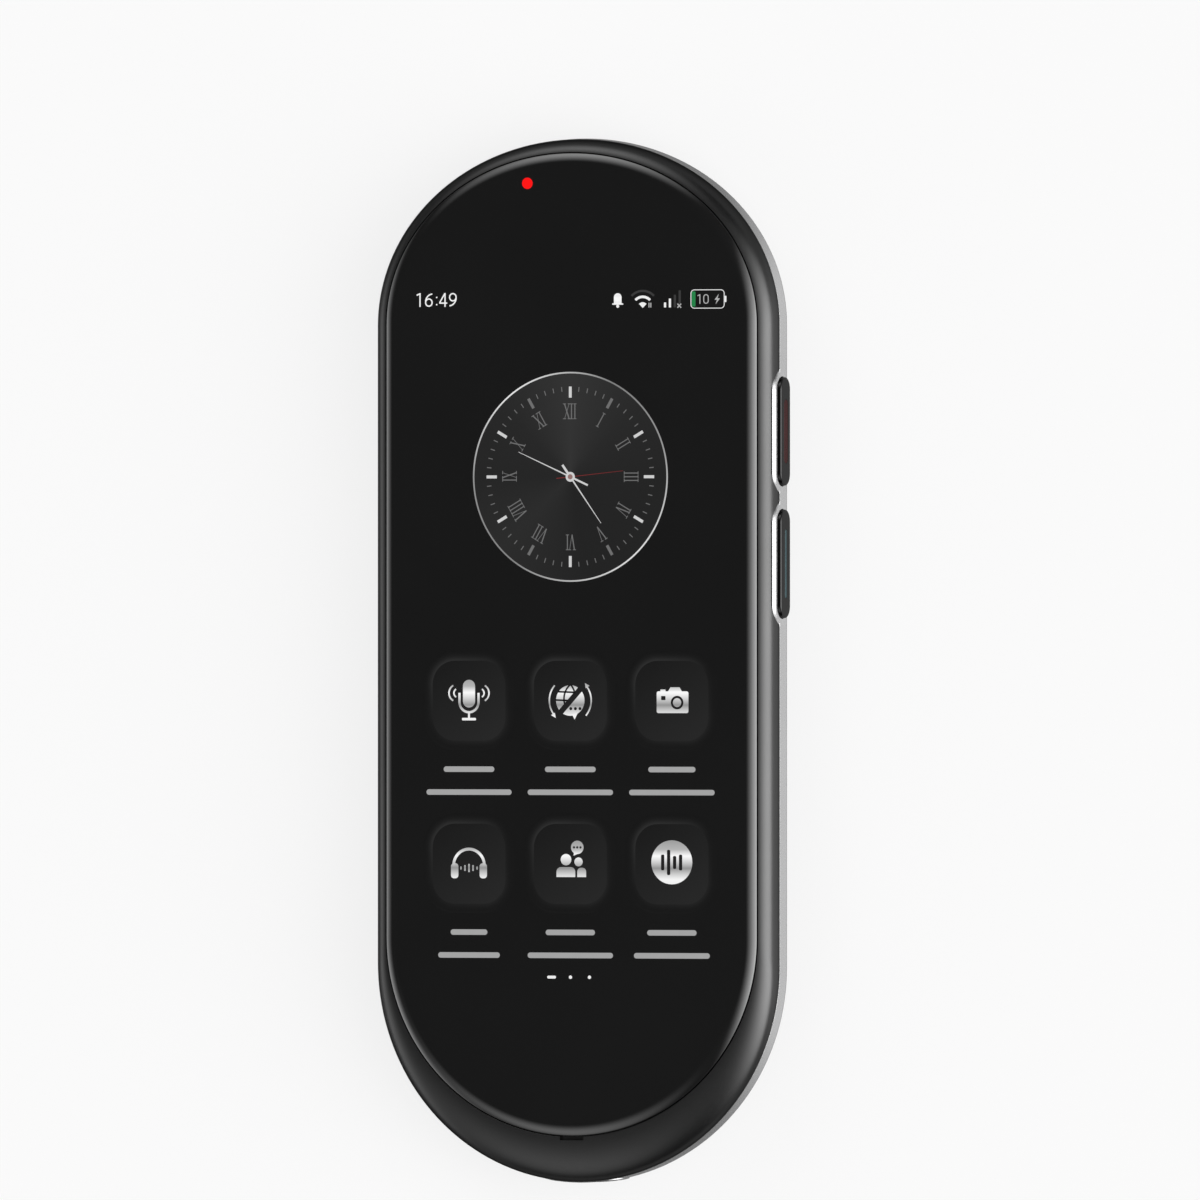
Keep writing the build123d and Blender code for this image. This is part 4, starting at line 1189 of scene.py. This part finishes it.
STATUS_V = 45.6
TIME_U = -21.1
BELL_U = 6.5
FAN_U = 9.9
SIGNAL_U = 12.93
BATTERY_U = 18.7


def digit(character, stroke):
    """Strokes of one digit or a colon, one unit high and 0.6 wide, its foot on v = 0."""
    half = stroke / 2
    if character == "0":
        return [hollow_box(0.6, 1, 0.3, stroke, (0.3, 0.5))]
    if character == "1":
        return [bar(0.38, 0.5, stroke, 1, 0.01), line((0.38, 1 - half), (0.12, 0.84), stroke)]
    if character == "4":
        slant = line((0.44, 1 - half), (0.04, 0.3), stroke)
        return [bar(0.46, 0.5, stroke, 1, 0.01), bar(0.32, 0.27, 0.62, stroke, 0.01), slant]
    if character in "69":
        ring = hollow_box(0.6, 0.62, 0.3, stroke, (0.3, 0.31))
        shapes = [ring, arc(0.62, 0.36, 0.62 - half, stroke, 96, 178, 10)]
        return turned(shapes, 180, (0.3, 0.5)) if character == "9" else shapes
    return [disc(0.14, v, half * 1.15) for v in (0.16, 0.68)]


def numbers(text, height, stroke, u, v):
    """Digits in a row, their left edge at u and their middle at v."""
    shapes = []
    for character in text:
        for shape in digit(character, stroke / height):
            loops = [[(u + x * height, v + (y - 0.5) * height) for x, y in loop] for loop in shape]
            shapes.append(loops)
        u += height * (0.33 if character == ":" else 0.77)
    return shapes


def status_row():
    """Time, bell, wireless fan, signal bars and battery gauge along the top of the screen."""
    v = STATUS_V
    white = numbers("16:49", 1.75, 0.17, TIME_U, v)
    white += [disc(BELL_U, v + 0.25, 0.52), bar(BELL_U, v - 0.15, 1.04, 0.9, 0.08)]
    white += [bar(BELL_U, v - 0.6, 1.5, 0.18, 0.07), disc(BELL_U, v - 0.88, 0.2)]
    fan = [(FAN_U, v - 1.1)]
    for a in range(45, 136, 10):
        fan.append((FAN_U + 0.72 * cos(radians(a)), v - 1.1 + 0.72 * sin(radians(a))))
    white += [[fan], arc(*fan[0], 1.4, 0.32, 45, 135)]
    faint = [arc(*fan[0], 2.15, 0.28, 45, 135)]
    soft = [line((FAN_U + du, v - 1.05), (FAN_U + du, v - 0.45), 0.12) for du in (0.85, 1.1)]
    for index, height in enumerate((0.63, 1.12, 1.6, 2.15)):
        group = white if index < 2 else faint
        group.append(bar(SIGNAL_U + 0.66 * index, v - 1.05 + height / 2, 0.29, height, 0.05))
    cross_u, cross_v = SIGNAL_U + 1.93, v - 0.84
    for rise in (-0.25, 0.25):
        soft.append(line((cross_u - 0.25, cross_v - rise), (cross_u + 0.25, cross_v + rise), 0.15))
    case = hollow_box(4.6, 2.4, 0.5, 0.09, (BATTERY_U, v))
    white += [case, bar(BATTERY_U + 2.44, v, 0.22, 0.8, 0.08)]
    bolt = [(0.22, 0.62), (-0.36, -0.1), (-0.02, -0.1), (-0.22, -0.66), (0.38, 0.08), (0.04, 0.08)]
    soft += shifted([[bolt]], BATTERY_U + 1.3, v)
    soft += numbers("10", 1.2, 0.11, BATTERY_U - 1.5, v)
    screen_piece("status_glyphs", white, 2, "white")
    screen_piece("status_glyphs_soft", soft, 2, "soft")
    screen_piece("status_glyphs_faint", faint, 2, "faint")
    screen_piece("battery_level", [bar(BATTERY_U - 1.9, v, 0.5, 1.9, 0.1)], 2, "green")


PAGE_DOTS_V = -40.0
INDICATOR = (-5.8, 60.3)
INDICATOR_RADIUS = 0.72


def page_dots():
    dots = [bar(-2.5, PAGE_DOTS_V, 1.2, 0.36)]
    dots += [disc(u, PAGE_DOTS_V, 0.22) for u in (0.07, 2.65)]
    screen_piece("page_dots", dots, 1, "white")


def indicator():
    screen_piece("indicator_dot", [disc(*INDICATOR, INDICATOR_RADIUS)], 1, "lamp")


clock()
app_tiles()
glyphs_and_labels()
status_row()
page_dots()
indicator()

# ---------- Floor, light and camera ----------

FLOOR_SIZE = 20000
FLOOR_Z = -0.05
FLOOR_WHITE = 0.8
# Painted shade in reflections: past the object's ends, between these two distances along Y, the
# floor's glow for glossy and transmission rays dims down to the share that is left at the ends.
MIRROR_SHADE_SPAN = (46.5, 66.5)
MIRROR_GLOW_LEFT_AT_ENDS = 0.22


def floor():
    """Pale floor with the object's soft shadow.

    Its mirror image in the metal fades past the two ends of the object: there its glow for glossy
    and transmission rays is dimmed, painted shade in the metal's reflections.
    """
    bm = bmesh.new()
    signs = [(-1, -1), (1, -1), (1, 1), (-1, 1)]
    corners = placed([(a * FLOOR_SIZE, b * FLOOR_SIZE) for a, b in signs], "z", FLOOR_Z)
    bm.faces.new([bm.verts.new(Vector(corner) * MM) for corner in corners])
    plane = mesh_object("floor", bm)
    material, tree, shader = node_material("pale_floor")
    matt = {"Base Color": (0.9, 0.9, 0.9, 1), "Roughness": 0.9, "Specular IOR Level": 0.1}
    set_sockets(shader, matt)
    glow = tree.nodes.new("ShaderNodeEmission")
    mix = tree.nodes.new("ShaderNodeMixShader")
    path = tree.nodes.new("ShaderNodeLightPath").outputs
    mirrored = math_node(tree, "MAXIMUM", path["Is Glossy Ray"], path["Is Transmission Ray"])
    seen = math_node(tree, "MAXIMUM", path["Is Camera Ray"], mirrored)
    # Painted shade: the glow that glossy and transmission rays see dims past the two ends of the
    # object.
    fade = tree.nodes.new("ShaderNodeMapRange")
    fade.interpolation_type = "SMOOTHSTEP"
    start, end = (y * MM for y in MIRROR_SHADE_SPAN)
    set_sockets(fade, {"From Min": start, "From Max": end, "To Max": 1 - MIRROR_GLOW_LEFT_AT_ENDS})
    tree.links.new(math_node(tree, "ABSOLUTE", object_y(tree)), fade.inputs["Value"])
    painted_mirror_shade = math_node(tree, "MULTIPLY", mirrored, fade.outputs["Result"])
    tree.links.new(math_node(tree, "SUBTRACT", 1.0, painted_mirror_shade), glow.inputs["Strength"])
    share = math_node(tree, "MULTIPLY", seen, FLOOR_WHITE)
    tree.links.new(math_node(tree, "MAXIMUM", share, painted_mirror_shade), mix.inputs["Fac"])
    tree.links.new(shader.outputs["BSDF"], mix.inputs[1])
    tree.links.new(glow.outputs["Emission"], mix.inputs[2])
    output = next(n for n in tree.nodes if n.type == "OUTPUT_MATERIAL")
    tree.links.new(mix.outputs[0], output.inputs["Surface"])
    plane.data.materials.append(material)


# Soft lights in the sky. Each has the tilt of its middle from +Z towards +X, its lean from there
# towards +Y, its half widths along tilt and lean, all in degrees, and its strength.
SKY_LIGHTS = {
    "right": (69, -3, 90, 49, 5.0),
    "right_low": (76, -16, 71, 46, 1.7),
    "top": (-34, 57, 37, 47, 2.45),
    "bottom": (-31, -40, 35, 41, 1.1),
    "left": (-98, -11, 58, 46, 2.7),
}
SKY_DIM = 0.067


def sky():
    """World of a dim ceiling with broad soft lights round the object."""
    world = bpy.data.worlds.new("studio")
    bpy.context.scene.world = world
    world.use_nodes = True
    tree = world.node_tree
    tree.nodes.clear()
    coords = tree.nodes.new("ShaderNodeTexCoord")

    def along(vector):
        node = tree.nodes.new("ShaderNodeVectorMath")
        node.operation = "DOT_PRODUCT"
        tree.links.new(coords.outputs["Generated"], node.inputs[0])
        node.inputs[1].default_value = vector
        return node.outputs["Value"]

    total = SKY_DIM
    for tilt, lean, wide, high, strength in SKY_LIGHTS.values():
        t, e = radians(tilt), radians(lean)
        ahead = along((sin(t) * cos(e), sin(e), cos(t) * cos(e)))
        aside = along((cos(t), 0, -sin(t)))
        above = along((-sin(t) * sin(e), cos(e), -cos(t) * sin(e)))
        across = math_node(tree, "DIVIDE", math_node(tree, "ARCTAN2", aside, ahead), radians(wide))
        upward = math_node(tree, "DIVIDE", math_node(tree, "ARCTAN2", above, ahead), radians(high))
        squares = [math_node(tree, "MULTIPLY", part, part) for part in (across, upward)]
        far = math_node(tree, "SQRT", math_node(tree, "ADD", *squares))
        near = math_node(tree, "SUBTRACT", 1.0, math_node(tree, "MINIMUM", far, 1.0))
        slope = math_node(tree, "SUBTRACT", 3.0, math_node(tree, "MULTIPLY", near, 2.0))
        soft = math_node(tree, "MULTIPLY", math_node(tree, "MULTIPLY", near, near), slope)
        total = math_node(tree, "ADD", total, math_node(tree, "MULTIPLY", soft, strength))
    background = tree.nodes.new("ShaderNodeBackground")
    tree.links.new(total, background.inputs["Strength"])
    output = tree.nodes.new("ShaderNodeOutputWorld")
    tree.links.new(background.outputs[0], output.inputs["Surface"])


# The view is turned from square on to the screen about the long axis.
VIEW_TURN = radians(21.8)
FRAME_WIDTH = 151.56
IMAGE_SIZE = 1200
SCREEN_CENTRE_PIXEL = (569.8, 660.5)
LENS = 1000
SENSOR = 36


def camera():
    right = Vector((cos(VIEW_TURN), 0, -sin(VIEW_TURN)))
    up = Vector((0, 1, 0))
    back = Vector((sin(VIEW_TURN), 0, cos(VIEW_TURN)))
    pixel = FRAME_WIDTH / IMAGE_SIZE
    across = (IMAGE_SIZE / 2 - SCREEN_CENTRE_PIXEL[0]) * pixel
    upward = (SCREEN_CENTRE_PIXEL[1] - IMAGE_SIZE / 2) * pixel
    aim = Vector((0, 0, THICKNESS)) + right * across + up * upward
    distance = FRAME_WIDTH * LENS / SENSOR
    data = bpy.data.cameras.new("camera")
    data.lens = LENS
    data.sensor_width = SENSOR
    data.clip_start = 0.01
    data.clip_end = 100
    obj = bpy.data.objects.new("camera", data)
    bpy.context.scene.collection.objects.link(obj)
    turn = Matrix((right, up, back)).transposed()
    obj.matrix_world = Matrix.Translation((aim + back * distance) * MM) @ turn.to_4x4()
    bpy.context.scene.camera = obj


floor()
sky()
camera()
bpy.context.scene.view_settings.view_transform = "Standard"
